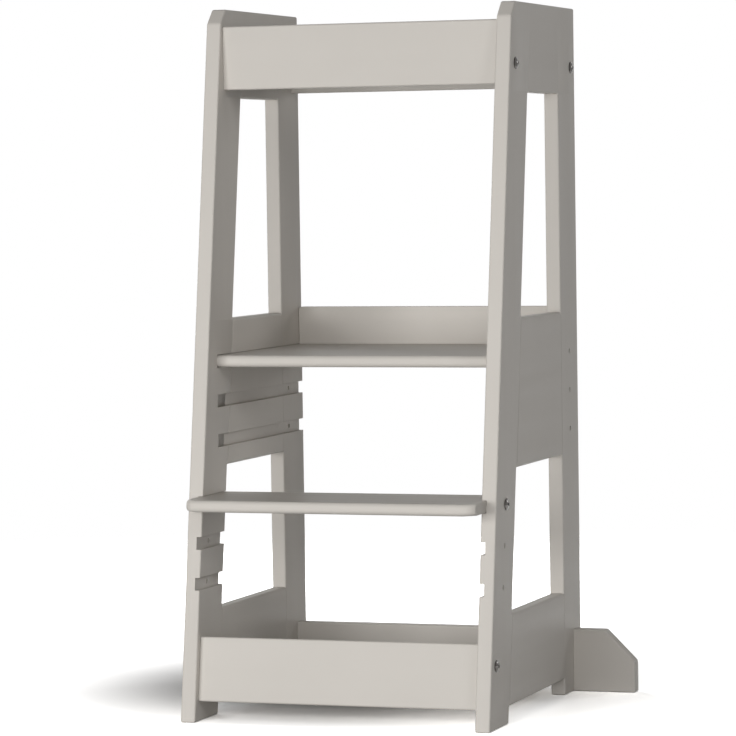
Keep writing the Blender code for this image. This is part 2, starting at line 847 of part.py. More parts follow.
def fix_step(step, side_name, front_leg):
    """Bolt and barrel nut at one end of the step, and the leg's spare bores for other heights."""
    side = SIDES[side_name]
    nut_x = SHELF_END_X - STEP_NUT_SETBACK
    tip_x = nut_x - BOLT_OVERRUN
    seat_x = OUTER_X + SEAT_GAP
    depth = STEP_BOLT_DEPTH
    downwards = (0, 0, -1)
    bore = rod_along_x(
        f"bolt_bore_step_{side_name}",
        BOLT_BORE_RADIUS,
        side * (tip_x - BORE_OVERRUN),
        side * (OUTER_X + OVERCUT),
        depth,
        STEP_MIDDLE_Z,
    )
    nut_bore = blind_nut_bore(
        f"nut_bore_step_{side_name}",
        side * nut_x,
        depth,
        STEP_MIDDLE_Z,
        downwards,
        STEP_THICKNESS,
    )
    cut(step, bore, nut_bore)
    cut(front_leg, bore)
    for level in range(1, GROOVE_LEVELS):
        spare_z = STEP_MIDDLE_Z - level * GROOVE_SPACING
        spare = rod_along_x(
            f"spare_step_bore_{level}_{side_name}",
            BOLT_BORE_RADIUS,
            side * (INNER_X - OVERCUT),
            side * (OUTER_X + OVERCUT),
            leg_middle(spare_z),
            spare_z,
        )
        cut(front_leg, spare)
    nut_length = STEP_THICKNESS - 2 * BARREL_NUT_COVER
    return [
        make_bolt(f"bolt_step_{side_name}", side, seat_x, seat_x - tip_x, depth, STEP_MIDDLE_Z),
        make_nut(
            f"barrel_nut_step_{side_name}",
            side * nut_x,
            depth,
            STEP_MIDDLE_Z,
            downwards,
            nut_length,
            bore,
        ),
    ]


def bore_platform_levels(platform, side_name, back_leg):
    """Bores of the back leg at each platform height, and the platform's own end bore."""
    side = SIDES[side_name]
    depth = BACK_LEG_WIDTH / 2
    for level in range(GROOVE_LEVELS):
        cut(
            back_leg,
            rod_along_x(
                f"platform_level_bore_{level + 1}_{side_name}",
                BOLT_BORE_RADIUS,
                side * (INNER_X - OVERCUT),
                side * (OUTER_X + OVERCUT),
                depth,
                PLATFORM_MIDDLE_Z - level * GROOVE_SPACING,
            ),
        )
    cut(
        platform,
        rod_along_x(
            f"platform_end_bore_{side_name}",
            BOLT_BORE_RADIUS,
            side * (SHELF_END_X - PLATFORM_BORE_LENGTH),
            side * (SHELF_END_X + OVERCUT),
            depth,
            PLATFORM_MIDDLE_Z,
        ),
    )


def fix_guard(platform, guard):
    """Countersunk screws driven up through the platform into its guard."""
    screws = []
    head_z = PLATFORM_TOP - PLATFORM_THICKNESS + SEAT_GAP
    tip_z = PLATFORM_TOP + SCREW_IN_GUARD
    y = to_y(PLATFORM_REAR_INSET + GUARD_THICKNESS / 2)
    length = tip_z - head_z
    for index in range(SCREW_COUNT):
        x = (index - (SCREW_COUNT - 1) / 2) * SCREW_SPACING
        profile = [
            (0.0, length),
            (SCREW_DIAMETER / 2, length - SCREW_POINT),
            (SCREW_DIAMETER / 2, SCREW_HEAD_HEIGHT),
            (SCREW_HEAD_DIAMETER / 2, 0.0),
            (0.0, 0.0),
        ]
        screw = turned(f"guard_screw_{index + 1}", profile, ZINC, BORE_SIDES)
        screw.location = (x, y, head_z)
        shank_bore = rod(
            f"guard_screw_bore_{index + 1}",
            SCREW_BORE_RADIUS,
            length + 2 * OVERCUT,
            (x, y, head_z + length / 2 + BORE_PLAY - OVERCUT),
            (0, 0, 1),
        )
        sink_mesh = bpy.data.meshes.new(f"countersink_{index + 1}")
        work = bmesh.new()
        slope = (SCREW_HEAD_DIAMETER - SCREW_DIAMETER) / 2 / SCREW_HEAD_HEIGHT
        sink_top = SCREW_HEAD_HEIGHT + SEAT_GAP
        bmesh.ops.create_cone(
            work,
            cap_ends=True,
            segments=BORE_SIDES,
            radius1=SCREW_BORE_RADIUS + slope * (sink_top + OVERCUT),
            radius2=SCREW_BORE_RADIUS,
            depth=sink_top + OVERCUT,
        )
        work.to_mesh(sink_mesh)
        work.free()
        countersink = add_object(sink_mesh.name, sink_mesh)
        countersink.location = (x, y, head_z + (sink_top - OVERCUT) / 2)
        cut(platform, shank_bore, countersink)
        cut(guard, shank_bore)
        screws.append(screw)
    return screws


def parent_to(empty_name, location, pieces):
    """Hang pieces on an empty without moving them."""
    empty = bpy.data.objects.new(empty_name, None)
    empty.location = location
    TOWER.objects.link(empty)
    bpy.context.view_layer.update()
    for piece in pieces:
        piece.parent = empty
        piece.matrix_parent_inverse = empty.matrix_world.inverted()
    return empty


def build_tower():
    """Build every piece of the tower."""
    platform_grooves = groove_cutters(
        "platform_groove",
        PLATFORM_THICKNESS,
        PLATFORM_TOP,
        PLATFORM_NOSE_DEPTH + END_PLAY,
        -OVERCUT,
    )
    step_grooves = groove_cutters(
        "step_groove",
        STEP_THICKNESS,
        STEP_TOP,
        FRONT_LEG_FOOT_DEPTH + OVERCUT,
        BACK_LEG_WIDTH + OVERCUT,
    )
    sides = {name: make_side(name, platform_grooves, step_grooves) for name in SIDES}

    top_front = make_upright_rail(
        "top_rail_front", TOP_FRONT_RAIL_DEPTH, TOP_RAIL_BOTTOM, TOP_RAIL_HEIGHT
    )
    top_back = make_upright_rail(
        "top_rail_back", BACK_RAIL_INSET + RAIL_THICKNESS, TOP_RAIL_BOTTOM, TOP_RAIL_HEIGHT
    )
    bottom_front = make_raked_rail("bottom_rail_front")
    bottom_back = make_upright_rail(
        "bottom_rail_back",
        BOTTOM_BACK_RAIL_INSET + RAIL_THICKNESS,
        BOTTOM_BACK_RAIL_BOTTOM,
        BOTTOM_BACK_RAIL_HEIGHT,
    )
    step = make_step()
    platform = make_platform()
    guard = make_guard()

    fixed = [top_front, top_back, bottom_front, bottom_back, step]
    half = RAIL_THICKNESS / 2
    for side_name, boards in sides.items():
        fixed += boards.values()
        outrigger = make_outrigger(side_name)
        fixed.append(outrigger)
        fixed += fix_rail(
            top_front,
            "top_front",
            side_name,
            boards["front"],
            (TOP_FRONT_RAIL_DEPTH - half, TOP_RAIL_MIDDLE),
            -BOLT_OFFSET,
            0.0,
        )
        fixed += fix_rail(
            top_back,
            "top_back",
            side_name,
            boards["back"],
            (BACK_RAIL_INSET + half, TOP_RAIL_MIDDLE),
            -BOLT_OFFSET,
            0.0,
        )
        fixed += fix_rail(
            bottom_front,
            "bottom_front",
            side_name,
            boards["front"],
            raked_rail_point(0, half),
            BOLT_OFFSET,
            RAKE_ANGLE,
        )
        fixed += fix_outrigger(bottom_back, outrigger, side_name, boards["back"])
        fixed += fix_step(step, side_name, boards["front"])
        bore_platform_levels(platform, side_name, boards["back"])

    sliding = [platform, guard] + fix_guard(platform, guard)
    parent_to("tower_frame", (0, 0, 0), fixed)
    slide_start = (0, to_y(PLATFORM_REAR_INSET), PLATFORM_MIDDLE_Z)
    parent_to("platform_slide", slide_start, sliding)


build_tower()
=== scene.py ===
"""Looks of a child's learning tower: lacquered boards, plated fittings, a white floor and soft light.

Metres, +Z up, the climbing side towards -Y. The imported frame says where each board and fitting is;
the classes here shape one sub-assembly each around those places and dress it in its finish.
"""

from __future__ import annotations

import logging
import math
from collections.abc import Callable, Iterable, Sequence
from dataclasses import dataclass, field
from enum import Enum
from typing import ClassVar

import bmesh
import bpy
from mathutils import Matrix, Vector

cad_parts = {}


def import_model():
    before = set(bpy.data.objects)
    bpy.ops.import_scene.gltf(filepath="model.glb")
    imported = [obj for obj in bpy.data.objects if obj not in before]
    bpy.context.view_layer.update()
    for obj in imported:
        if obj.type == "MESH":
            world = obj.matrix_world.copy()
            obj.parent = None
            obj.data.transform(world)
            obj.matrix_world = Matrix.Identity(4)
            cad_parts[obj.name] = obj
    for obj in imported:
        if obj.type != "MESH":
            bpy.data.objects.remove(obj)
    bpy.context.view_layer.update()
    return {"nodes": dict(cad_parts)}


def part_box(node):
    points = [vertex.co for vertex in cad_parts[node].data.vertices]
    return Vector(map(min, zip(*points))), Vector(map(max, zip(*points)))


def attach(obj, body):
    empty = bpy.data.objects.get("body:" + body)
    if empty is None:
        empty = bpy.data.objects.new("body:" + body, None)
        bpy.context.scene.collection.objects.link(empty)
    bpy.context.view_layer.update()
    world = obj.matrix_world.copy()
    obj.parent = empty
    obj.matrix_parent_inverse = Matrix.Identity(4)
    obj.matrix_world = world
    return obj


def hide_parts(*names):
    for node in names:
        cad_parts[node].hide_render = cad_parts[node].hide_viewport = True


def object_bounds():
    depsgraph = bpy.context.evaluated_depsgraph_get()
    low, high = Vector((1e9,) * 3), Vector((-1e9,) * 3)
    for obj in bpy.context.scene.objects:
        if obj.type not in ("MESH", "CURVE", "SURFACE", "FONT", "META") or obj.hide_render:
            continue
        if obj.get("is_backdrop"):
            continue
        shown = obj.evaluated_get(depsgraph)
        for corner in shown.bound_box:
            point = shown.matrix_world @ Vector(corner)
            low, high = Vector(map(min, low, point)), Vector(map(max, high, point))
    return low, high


LOG = logging.getLogger("learning_tower")

TOWER_BODY = "tower_frame"
PLATFORM_BODY = "standing_platform"

# Least turn of an edge that is rounded, and of one that stays sharp in the shading
SHARP_EDGE = math.radians(12)
SMOOTH_LIMIT = math.radians(32)
# Two places this close are one, a cutter passes a face by this, and doubles this close are merged
TOUCH = 0.0002
OVERCUT = 0.004
WELD = 0.000001
# Clearance of fitted pieces, and facets of a round hole
PLAY = 0.0003
HOLE_SIDES = 24
# Range that holds most values of a noise, and the lean of the raked legs' grain
NOISE_MIDDLE = (0.3, 0.7)
GRAIN_LEAN = 0.1494
GUARD_SCREWS = ("guard_screw_1", "guard_screw_2", "guard_screw_3")

Chooser = Callable[[Vector, Vector], bool]
Box = tuple[Vector, Vector]


class Side(Enum):
    """The two sides of the tower, with the sign of their X."""

    LEFT = -1
    RIGHT = 1

    @property
    def label(self) -> str:
        """Word that ends the names of this side's pieces."""
        return self.name.lower()


class Grain(Enum):
    """Direction of a board's fibres, as turns about X, Y and Z that bring X onto it."""

    ALONG_X = (0.0, 0.0, 0.0)
    ALONG_Y = (0.0, 0.0, math.pi / 2)
    UPRIGHT = (0.0, math.pi / 2, 0.0)
    RAKED = (GRAIN_LEAN, math.pi / 2, 0.0)


# Finishes


@dataclass(frozen=True)
class NodeBench:
    """Node tree of one material or world, with short ways to add what the finishes share."""

    material: bpy.types.Material | bpy.types.World

    @classmethod
    def open(cls, name: str) -> NodeBench:
        """Start a material with only its Principled shader and output.

        Args:
            name: Name of the material.

        Returns:
            The bench with the new material on it.
        """
        material = bpy.data.materials.new(name)
        material.use_nodes = True
        return cls(material)

    @property
    def shader(self) -> bpy.types.Node:
        """The Principled shader."""
        return self.material.node_tree.nodes["Principled BSDF"]

    def add(self, kind: str, **settings: object) -> bpy.types.Node:
        """Add a node.

        Args:
            kind: Blender's name of the node type.
            settings: Properties of the node to set.

        Returns:
            The new node.
        """
        node = self.material.node_tree.nodes.new(kind)
        for key, value in settings.items():
            setattr(node, key, value)
        return node

    def link(self, source: bpy.types.NodeSocket, target: bpy.types.NodeSocket) -> None:
        """Join two sockets."""
        self.material.node_tree.links.new(source, target)

    def coordinates(self, grain: Grain, stretch: tuple[float, float, float]) -> bpy.types.NodeSocket:
        """Object coordinates turned to a grain and stretched.

        Args:
            grain: Direction that the pattern's X follows.
            stretch: Scale along and across the grain.

        Returns:
            The vector socket.
        """
        place = self.add("ShaderNodeTexCoord")
        turn = self.add("ShaderNodeMapping", vector_type="TEXTURE")
        turn.inputs["Rotation"].default_value = grain.value
        scale = self.add("ShaderNodeMapping")
        scale.inputs["Scale"].default_value = stretch
        self.link(place.outputs["Object"], turn.inputs["Vector"])
        self.link(turn.outputs["Vector"], scale.inputs["Vector"])
        return scale.outputs["Vector"]

    def noise(self, vector: bpy.types.NodeSocket, scale: float, detail: float) -> bpy.types.NodeSocket:
        """Noise value at a vector.

        Args:
            vector: Where the noise is read.
            scale: Cells per metre.
            detail: Number of finer layers.

        Returns:
            The socket of the value, from 0 to 1.
        """
        node = self.add("ShaderNodeTexNoise")
        node.inputs["Scale"].default_value = scale
        node.inputs["Detail"].default_value = detail
        self.link(vector, node.inputs["Vector"])
        return node.outputs["Fac"]

    def ramp(
        self,
        value: bpy.types.NodeSocket,
        span: Sequence[float],
        result: Sequence[float] = (0.0, 1.0),
        kind: str = "LINEAR",
    ) -> bpy.types.NodeSocket:
        """Map a range of a value onto another range.

        Args:
            value: Value to map.
            span: Ends of its range.
            result: What these ends become.
            kind: Blender's name of the way from one end to the other.

        Returns:
            The socket of the result.
        """
        node = self.add("ShaderNodeMapRange", interpolation_type=kind)
        names = ("From Min", "From Max", "To Min", "To Max")
        for name, end in zip(names, (*span, *result)):
            node.inputs[name].default_value = end
        self.link(value, node.inputs["Value"])
        return node.outputs["Result"]

    def spread(self, value: bpy.types.NodeSocket, low: float, high: float) -> bpy.types.NodeSocket:
        """Spread the middle of a noise over a range."""
        return self.ramp(value, NOISE_MIDDLE, (low, high))

    def blend(
        self, value: bpy.types.NodeSocket, first: Sequence[float], second: Sequence[float]
    ) -> bpy.types.NodeSocket:
        """Blend two colours by a value.

        Args:
            value: Share of the second colour.
            first: Colour at 0.
            second: Colour at 1.

        Returns:
            The socket of the colour.
        """
        node = self.add("ShaderNodeMix", data_type="RGBA")
        node.inputs["A"].default_value = (*first, 1.0)
        node.inputs["B"].default_value = (*second, 1.0)
        self.link(value, node.inputs["Factor"])
        return node.outputs["Result"]

    def bump(
        self,
        height: bpy.types.NodeSocket,
        distance: float,
        under: bpy.types.NodeSocket | None = None,
    ) -> bpy.types.NodeSocket:
        """Bump from a height value.

        Args:
            height: Height from 0 to 1.
            distance: Real height of 1, in metres.
            under: Normal of a coarser bump to build on.

        Returns:
            The socket of the normal.
        """
        node = self.add("ShaderNodeBump")
        node.inputs["Distance"].default_value = distance
        self.link(height, node.inputs["Height"])
        if under is not None:
            self.link(under, node.inputs["Normal"])
        return node.outputs["Normal"]

    def either(
        self, share: bpy.types.NodeSocket, first: bpy.types.NodeSocket, second: bpy.types.NodeSocket
    ) -> bpy.types.NodeSocket:
        """Mix two shaders.

        Args:
            share: Share of the second shader.
            first: Shader at 0.
            second: Shader at 1.

        Returns:
            The socket of the mix.
        """
        node = self.add("ShaderNodeMixShader")
        for source, target in zip((share, first, second), node.inputs):
            self.link(source, target)
        return node.outputs["Shader"]

    def looked_at(self) -> bpy.types.NodeSocket:
        """Light Path's answer for rays of the camera, and of metal and glass that mirror the place.

        Returns:
            The socket, 1 for such rays and 0 for the light itself.
        """
        rays = self.add("ShaderNodeLightPath")
        answer = rays.outputs["Is Camera Ray"]
        for kind in ("Is Glossy Ray", "Is Transmission Ray"):
            either = self.add("ShaderNodeMath", operation="MAXIMUM")
            self.link(answer, either.inputs[0])
            self.link(rays.outputs[kind], either.inputs[1])
            answer = either.outputs["Value"]
        return answer


def tinted(colour: Sequence[float], share: float) -> tuple[float, float, float]:
    """Colour made lighter or darker by a share of itself."""
    red, green, blue = (channel * (1.0 + share) for channel in colour)
    return (red, green, blue)


@dataclass(frozen=True)
class Lacquer:
    """Opaque satin lacquer over solid wood, through which the grain still shows faintly."""

    name: str
    colour: tuple[float, float, float] = (0.597, 0.565, 0.521)
    roughness: float = 0.5
    roughness_spread: float = 0.05
    mottle: float = 0.012
    mottle_scale: float = 9.0
    grain_scale: float = 60.0
    grain_stretch: float = 0.035
    grain_height: float = 0.00004
    peel_scale: float = 900.0
    peel_height: float = 0.000008
    specular: float = 0.14

    def material(self, grain: Grain) -> bpy.types.Material:
        """Build the lacquer for boards whose grain runs one way.

        Args:
            grain: Direction of the wood's fibres.

        Returns:
            The material.
        """
        bench = NodeBench.open(f"{self.name}_{grain.name.lower()}")
        plain = bench.coordinates(grain, (1.0, 1.0, 1.0))
        fibres = bench.coordinates(grain, (self.grain_stretch, 1.0, 1.0))
        mottle = bench.noise(plain, self.mottle_scale, detail=3.0)
        colour = bench.blend(
            bench.spread(mottle, 0.0, 1.0),
            tinted(self.colour, -self.mottle),
            tinted(self.colour, self.mottle),
        )
        peel = bench.noise(plain, self.peel_scale, detail=2.0)
        streaks = bench.noise(fibres, self.grain_scale, detail=6.0)
        rough = bench.spread(
            streaks, self.roughness - self.roughness_spread, self.roughness + self.roughness_spread
        )
        relief = bench.bump(peel, self.peel_height, bench.bump(streaks, self.grain_height))
        bench.shader.inputs["Specular IOR Level"].default_value = self.specular
        bench.link(colour, bench.shader.inputs["Base Color"])
        bench.link(rough, bench.shader.inputs["Roughness"])
        bench.link(relief, bench.shader.inputs["Normal"])
        return bench.material


@dataclass(frozen=True)
class PlatedSteel:
    """Plated steel of the fittings, with fine turning marks and a little cloud in its shine."""

    name: str
    colour: tuple[float, float, float]
    roughness: float
    roughness_spread: float
    cloud_scale: float = 350.0
    cloud_tint: float = 0.08
    mark_scale: float = 2500.0
    mark_height: float = 0.000004

    def material(self) -> bpy.types.Material:
        """Build the metal."""
        bench = NodeBench.open(self.name)
        plain = bench.coordinates(Grain.ALONG_X, (1.0, 1.0, 1.0))
        cloud = bench.noise(plain, self.cloud_scale, detail=3.0)
        marks = bench.noise(plain, self.mark_scale, detail=2.0)
        colour = bench.blend(
            bench.spread(cloud, 0.0, 1.0), tinted(self.colour, -self.cloud_tint), self.colour
        )
        rough = bench.spread(
            cloud, self.roughness - self.roughness_spread, self.roughness + self.roughness_spread
        )
        bench.shader.inputs["Metallic"].default_value = 1.0
        bench.link(colour, bench.shader.inputs["Base Color"])
        bench.link(rough, bench.shader.inputs["Roughness"])
        bench.link(bench.bump(marks, self.mark_height), bench.shader.inputs["Normal"])
        return bench.material


@dataclass(frozen=True)
class RawBeech:
    """Unfinished beech of the dowels, with its short dark flecks."""

    name: str = "raw_beech"
    pale: tuple[float, float, float] = (0.66, 0.47, 0.29)
    dark: tuple[float, float, float] = (0.50, 0.33, 0.19)
    fleck_scale: float = 900.0
    fleck_stretch: float = 0.08
    roughness: float = 0.7
    fibre_height: float = 0.00003

    def material(self) -> bpy.types.Material:
        """Build the wood."""
        bench = NodeBench.open(self.name)
        fibres = bench.coordinates(Grain.ALONG_X, (self.fleck_stretch, 1.0, 1.0))
        flecks = bench.noise(fibres, self.fleck_scale, detail=4.0)
        colour = bench.blend(bench.spread(flecks, 0.0, 1.0), self.pale, self.dark)
        bench.shader.inputs["Roughness"].default_value = self.roughness
        bench.link(colour, bench.shader.inputs["Base Color"])
        bench.link(bench.bump(flecks, self.fibre_height), bench.shader.inputs["Normal"])
        return bench.material


class Paintshop:
    """Keeps one material for each finish and grain, and the record's slot that it belongs to."""

    def __init__(self) -> None:
        """Open the shop with the tower's finishes."""
        self.lacquers = {
            "lacquer": Lacquer("satin_lacquer"),
            "shelf_lacquer": Lacquer("shelf_lacquer", roughness=0.45, specular=0.10),
        }
        self.metals = {
            # Painted dark reflection: the bolts' bright nickel is given a dark colour that stands in for
            # the dark surroundings it would mirror; the lamps still give it a bright spot
            "bolt_steel": PlatedSteel("dark_nickel", (0.095, 0.09, 0.085), 0.11, 0.03),
            "zinc": PlatedSteel("zinc_plate", (0.56, 0.57, 0.58), 0.38, 0.08),
        }
        self.beech = RawBeech()
        self.mixed: dict[tuple[str, str], bpy.types.Material] = {}

    def material(self, slot: str, grain: Grain = Grain.ALONG_X) -> bpy.types.Material:
        """Find or mix the material of a slot.

        Args:
            slot: Name of the record's material slot.
            grain: Direction of the fibres, for lacquered boards.

        Returns:
            The material.
        """
        key = (slot, grain.name if slot in self.lacquers else "")
        if key not in self.mixed:
            if slot in self.lacquers:
                self.mixed[key] = self.lacquers[slot].material(grain)
            elif slot in self.metals:
                self.mixed[key] = self.metals[slot].material()
            else:
                self.mixed[key] = self.beech.material()
        return self.mixed[key]


# Shaping


class Blank:
    """One piece in the making, from its raw shape to a dressed object."""

    def __init__(self, name: str) -> None:
        """Start an empty blank.

        Args:
            name: Name of the finished piece.
        """
        self.name = name
        self.work = bmesh.new()
        self.cutters: list[Blank] = []

    @classmethod
    def block(cls, name: str, low: Vector, high: Vector) -> Blank:
        """Square block between two corners."""
        blank = cls(name)
        size = Matrix.Diagonal((*(high - low), 1.0))
        bmesh.ops.create_cube(
            blank.work, size=1.0, matrix=Matrix.Translation((low + high) / 2) @ size
        )
        return blank

    @classmethod
    def plank(cls, name: str, outline: Iterable[Sequence[float]], push: Sequence[float]) -> Blank:
        """Flat outline pushed out to a thickness.

        Args:
            name: Name of the piece.
            outline: Corners of the outline in order, in one plane.
            push: Way and distance from the outline to the far face.

        Returns:
            The blank.
        """
        blank = cls(name)
        corners = [blank.work.verts.new(point) for point in outline]
        face = blank.work.faces.new(corners)
        pushed = bmesh.ops.extrude_face_region(blank.work, geom=[face])["geom"]
        far = [item for item in pushed if isinstance(item, bmesh.types.BMVert)]
        bmesh.ops.translate(blank.work, vec=Vector(push), verts=far)
        bmesh.ops.recalc_face_normals(blank.work, faces=blank.work.faces)
        return blank

    @classmethod
    def turned(cls, name: str, profile: Sequence[tuple[float, float]], steps: int) -> Blank:
        """Shape turned about Z.

        Args:
            name: Name of the piece.
            profile: Radius and height of each point, from the top down.
            steps: Facets round the axis.

        Returns:
            The blank.
        """
        blank = cls(name)
        points = [blank.work.verts.new((radius, 0.0, height)) for radius, height in profile]
        runs = [blank.work.edges.new(pair) for pair in zip(points, points[1:])]
        bmesh.ops.spin(
            blank.work,
            geom=points + runs,
            cent=(0.0, 0.0, 0.0),
            axis=(0.0, 0.0, 1.0),
            dvec=(0.0, 0.0, 0.0),
            angle=math.tau,
            steps=steps,
            use_merge=True,
            use_duplicate=False,
        )
        bmesh.ops.remove_doubles(blank.work, verts=blank.work.verts, dist=WELD)
        bmesh.ops.recalc_face_normals(blank.work, faces=blank.work.faces)
        return blank

    @classmethod
    def rod(cls, name: str, radius: float, start: Vector, end: Vector, sides: int) -> Blank:
        """Plain rod between two points."""
        blank = cls(name)
        bmesh.ops.create_cone(
            blank.work,
            cap_ends=True,
            segments=sides,
            radius1=radius,
            radius2=radius,
            depth=(end - start).length,
        )
        turn = (end - start).to_track_quat("Z", "Y").to_matrix().to_4x4()
        return blank.place(Matrix.Translation((start + end) / 2) @ turn)

    def place(self, matrix: Matrix) -> Blank:
        """Move the whole blank by a matrix."""
        bmesh.ops.transform(self.work, matrix=matrix, verts=self.work.verts)
        return self

    def round(self, radius: float, segments: int, chosen: Chooser | None = None) -> Blank:
        """Round sharp edges.

        Args:
            radius: Radius of the rounding.
            segments: Facets across it.
            chosen: Test on an edge's two ends; all sharp edges are rounded without it.

        Returns:
            The same blank.
        """
        edges = [
            edge
            for edge in self.work.edges
            if edge.calc_face_angle(0.0) > SHARP_EDGE
            and (chosen is None or chosen(edge.verts[0].co, edge.verts[1].co))
        ]
        bmesh.ops.bevel(
            self.work,
            geom=edges,
            offset=radius,
            offset_type="OFFSET",
            segments=segments,
            profile=0.5,
            affect="EDGES",
            clamp_overlap=True,
            material=-1,
        )
        return self

    def score(self, *levels: float) -> Blank:
        """Draw an edge round the blank at each height, where a rounding may end."""
        for level in levels:
            everything = [*self.work.verts, *self.work.edges, *self.work.faces]
            bmesh.ops.bisect_plane(
                self.work,
                geom=everything,
                dist=WELD,
                plane_co=(0.0, 0.0, level),
                plane_no=(0.0, 0.0, 1.0),
            )
        return self

    def carve(self, *cutters: Blank) -> Blank:
        """Note shapes to cut out when the piece is finished."""
        self.cutters += cutters
        return self

    def to_object(self) -> bpy.types.Object:
        """Make the raw object of the blank."""
        mesh = bpy.data.meshes.new(self.name)
        self.work.to_mesh(mesh)
        self.work.free()
        thing = bpy.data.objects.new(self.name, mesh)
        bpy.context.scene.collection.objects.link(thing)
        return thing

    def finish(
        self, material: bpy.types.Material, slot: str, body: str, *nodes: str
    ) -> bpy.types.Object:
        """Cut, smooth and dress the piece, and set it in the frame.

        Args:
            material: Finish of the piece.
            slot: Record's material slot of that finish; not used.
            body: Body that the piece rides on.
            nodes: CAD nodes that it stands for.

        Returns:
            The finished object.
        """
        piece = self.to_object()
        tools = [cutter.to_object() for cutter in self.cutters]
        for tool in tools:
            cut = piece.modifiers.new(tool.name, "BOOLEAN")
            cut.operation = "DIFFERENCE"
            cut.solver = "EXACT"
            cut.object = tool
        piece.data.shade_smooth()
        soften = piece.modifiers.new("even_normals", "WEIGHTED_NORMAL")
        soften.keep_sharp = True
        bpy.context.view_layer.update()
        depsgraph = bpy.context.evaluated_depsgraph_get()
        cut_mesh = bpy.data.meshes.new_from_object(piece.evaluated_get(depsgraph))
        cut_mesh.shade_smooth()
        cut_mesh.set_sharp_from_angle(angle=SMOOTH_LIMIT)
        for modifier in [item for item in piece.modifiers if item.type == "BOOLEAN"]:
            piece.modifiers.remove(modifier)
        piece.data = cut_mesh
        cut_mesh.name = self.name
        for tool in tools:
            bpy.data.objects.remove(tool, do_unlink=True)
        cut_mesh.materials.clear()
        cut_mesh.materials.append(material)
        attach(piece, body)
        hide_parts(*nodes)
        LOG.info("%s: %d faces", self.name, len(cut_mesh.polygons))
        return piece


# Places read from the frame


def middle(box: Box) -> Vector:
    """Middle of a box."""
    return (box[0] + box[1]) / 2


@dataclass(frozen=True)
class Rake:
    """Lean of the front legs, as places along Y at a height."""

    foot_y: float
    height: float
    setback: float = 0.1355
    leg_width: float = 0.082

    @property
    def slope(self) -> float:
        """Run along Y for each metre of height."""
        return self.setback / self.height

    @property
    def angle(self) -> float:
        """Lean from upright."""
        return math.atan(self.slope)

    def front(self, z: float) -> float:
        """Y of the leg's front edge."""
        return self.foot_y + self.slope * z

    def back(self, z: float) -> float:
        """Y of the leg's back edge."""
        return self.front(z) + self.leg_width / math.cos(self.angle)

    def centre(self, z: float) -> float:
        """Y of the leg's centre line."""
        return (self.front(z) + self.back(z)) / 2


@dataclass(frozen=True)
class Bore:
    """Round hole between two points, with eased rims where it breaks a face."""

    name: str
    start: Vector
    end: Vector
    radius: float
    rims: tuple[float, ...] = ()
    sides: int = HOLE_SIDES
    ease: float = 0.0005

    def near(self, box: Box) -> bool:
        """Tell if the hole reaches into a box."""
        low = Vector(map(min, self.start, self.end))
        high = Vector(map(max, self.start, self.end))
        return all(
            low[axis] - self.radius < box[1][axis] and high[axis] + self.radius > box[0][axis]
            for axis in range(3)
        )

    def cutters(self, owner: str) -> list[Blank]:
        """Shapes that cut the hole and ease its rims.

        Args:
            owner: Name of the piece that is cut, which begins the cutters' names.

        Returns:
            The cutters.
        """
        shapes = [Blank.rod(f"{owner}_{self.name}", self.radius, self.start, self.end, self.sides)]
        way = (self.end - self.start).normalized()
        turn = way.to_track_quat("Z", "Y").to_matrix().to_4x4()
        for number, rim in enumerate(self.rims):
            profile = [
                (0.0, self.ease),
                (self.radius + self.ease, self.ease),
                (self.radius + self.ease, 0.0),
                (self.radius, -self.ease),
                (0.0, -self.ease),
            ]
            cone = Blank.turned(f"{owner}_{self.name}_rim_{number}", profile, self.sides)
            flip = Matrix.Rotation(math.pi, 4, "X") if number % 2 else Matrix()
            at = self.start + way * rim
            shapes.append(cone.place(Matrix.Translation(at) @ turn @ flip))
        return shapes


@dataclass(frozen=True)
class Layout:
    """Places that the sub-assemblies share, read from the frame."""

    foot_depth: ClassVar[float] = 0.422
    back_leg_width: ClassVar[float] = 0.080

    inner_x: float
    outer_x: float
    rear_y: float
    height: float
    rake: Rake
    platform: Box
    step: Box

    @classmethod
    def read(cls) -> Layout:
        """Read the frame's boxes."""
        back_low, back_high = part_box("back_leg_right")
        return cls(
            inner_x=back_low.x,
            outer_x=back_high.x,
            rear_y=back_high.y,
            height=back_high.z,
            rake=Rake(foot_y=back_high.y - cls.foot_depth, height=back_high.z),
            platform=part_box("platform"),
            step=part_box("step"),
        )

    def back_leg(self, share: float) -> float:
        """Y at a share of the upright leg's width, measured back from its front edge."""
        return self.rear_y - self.back_leg_width * (1.0 - share)


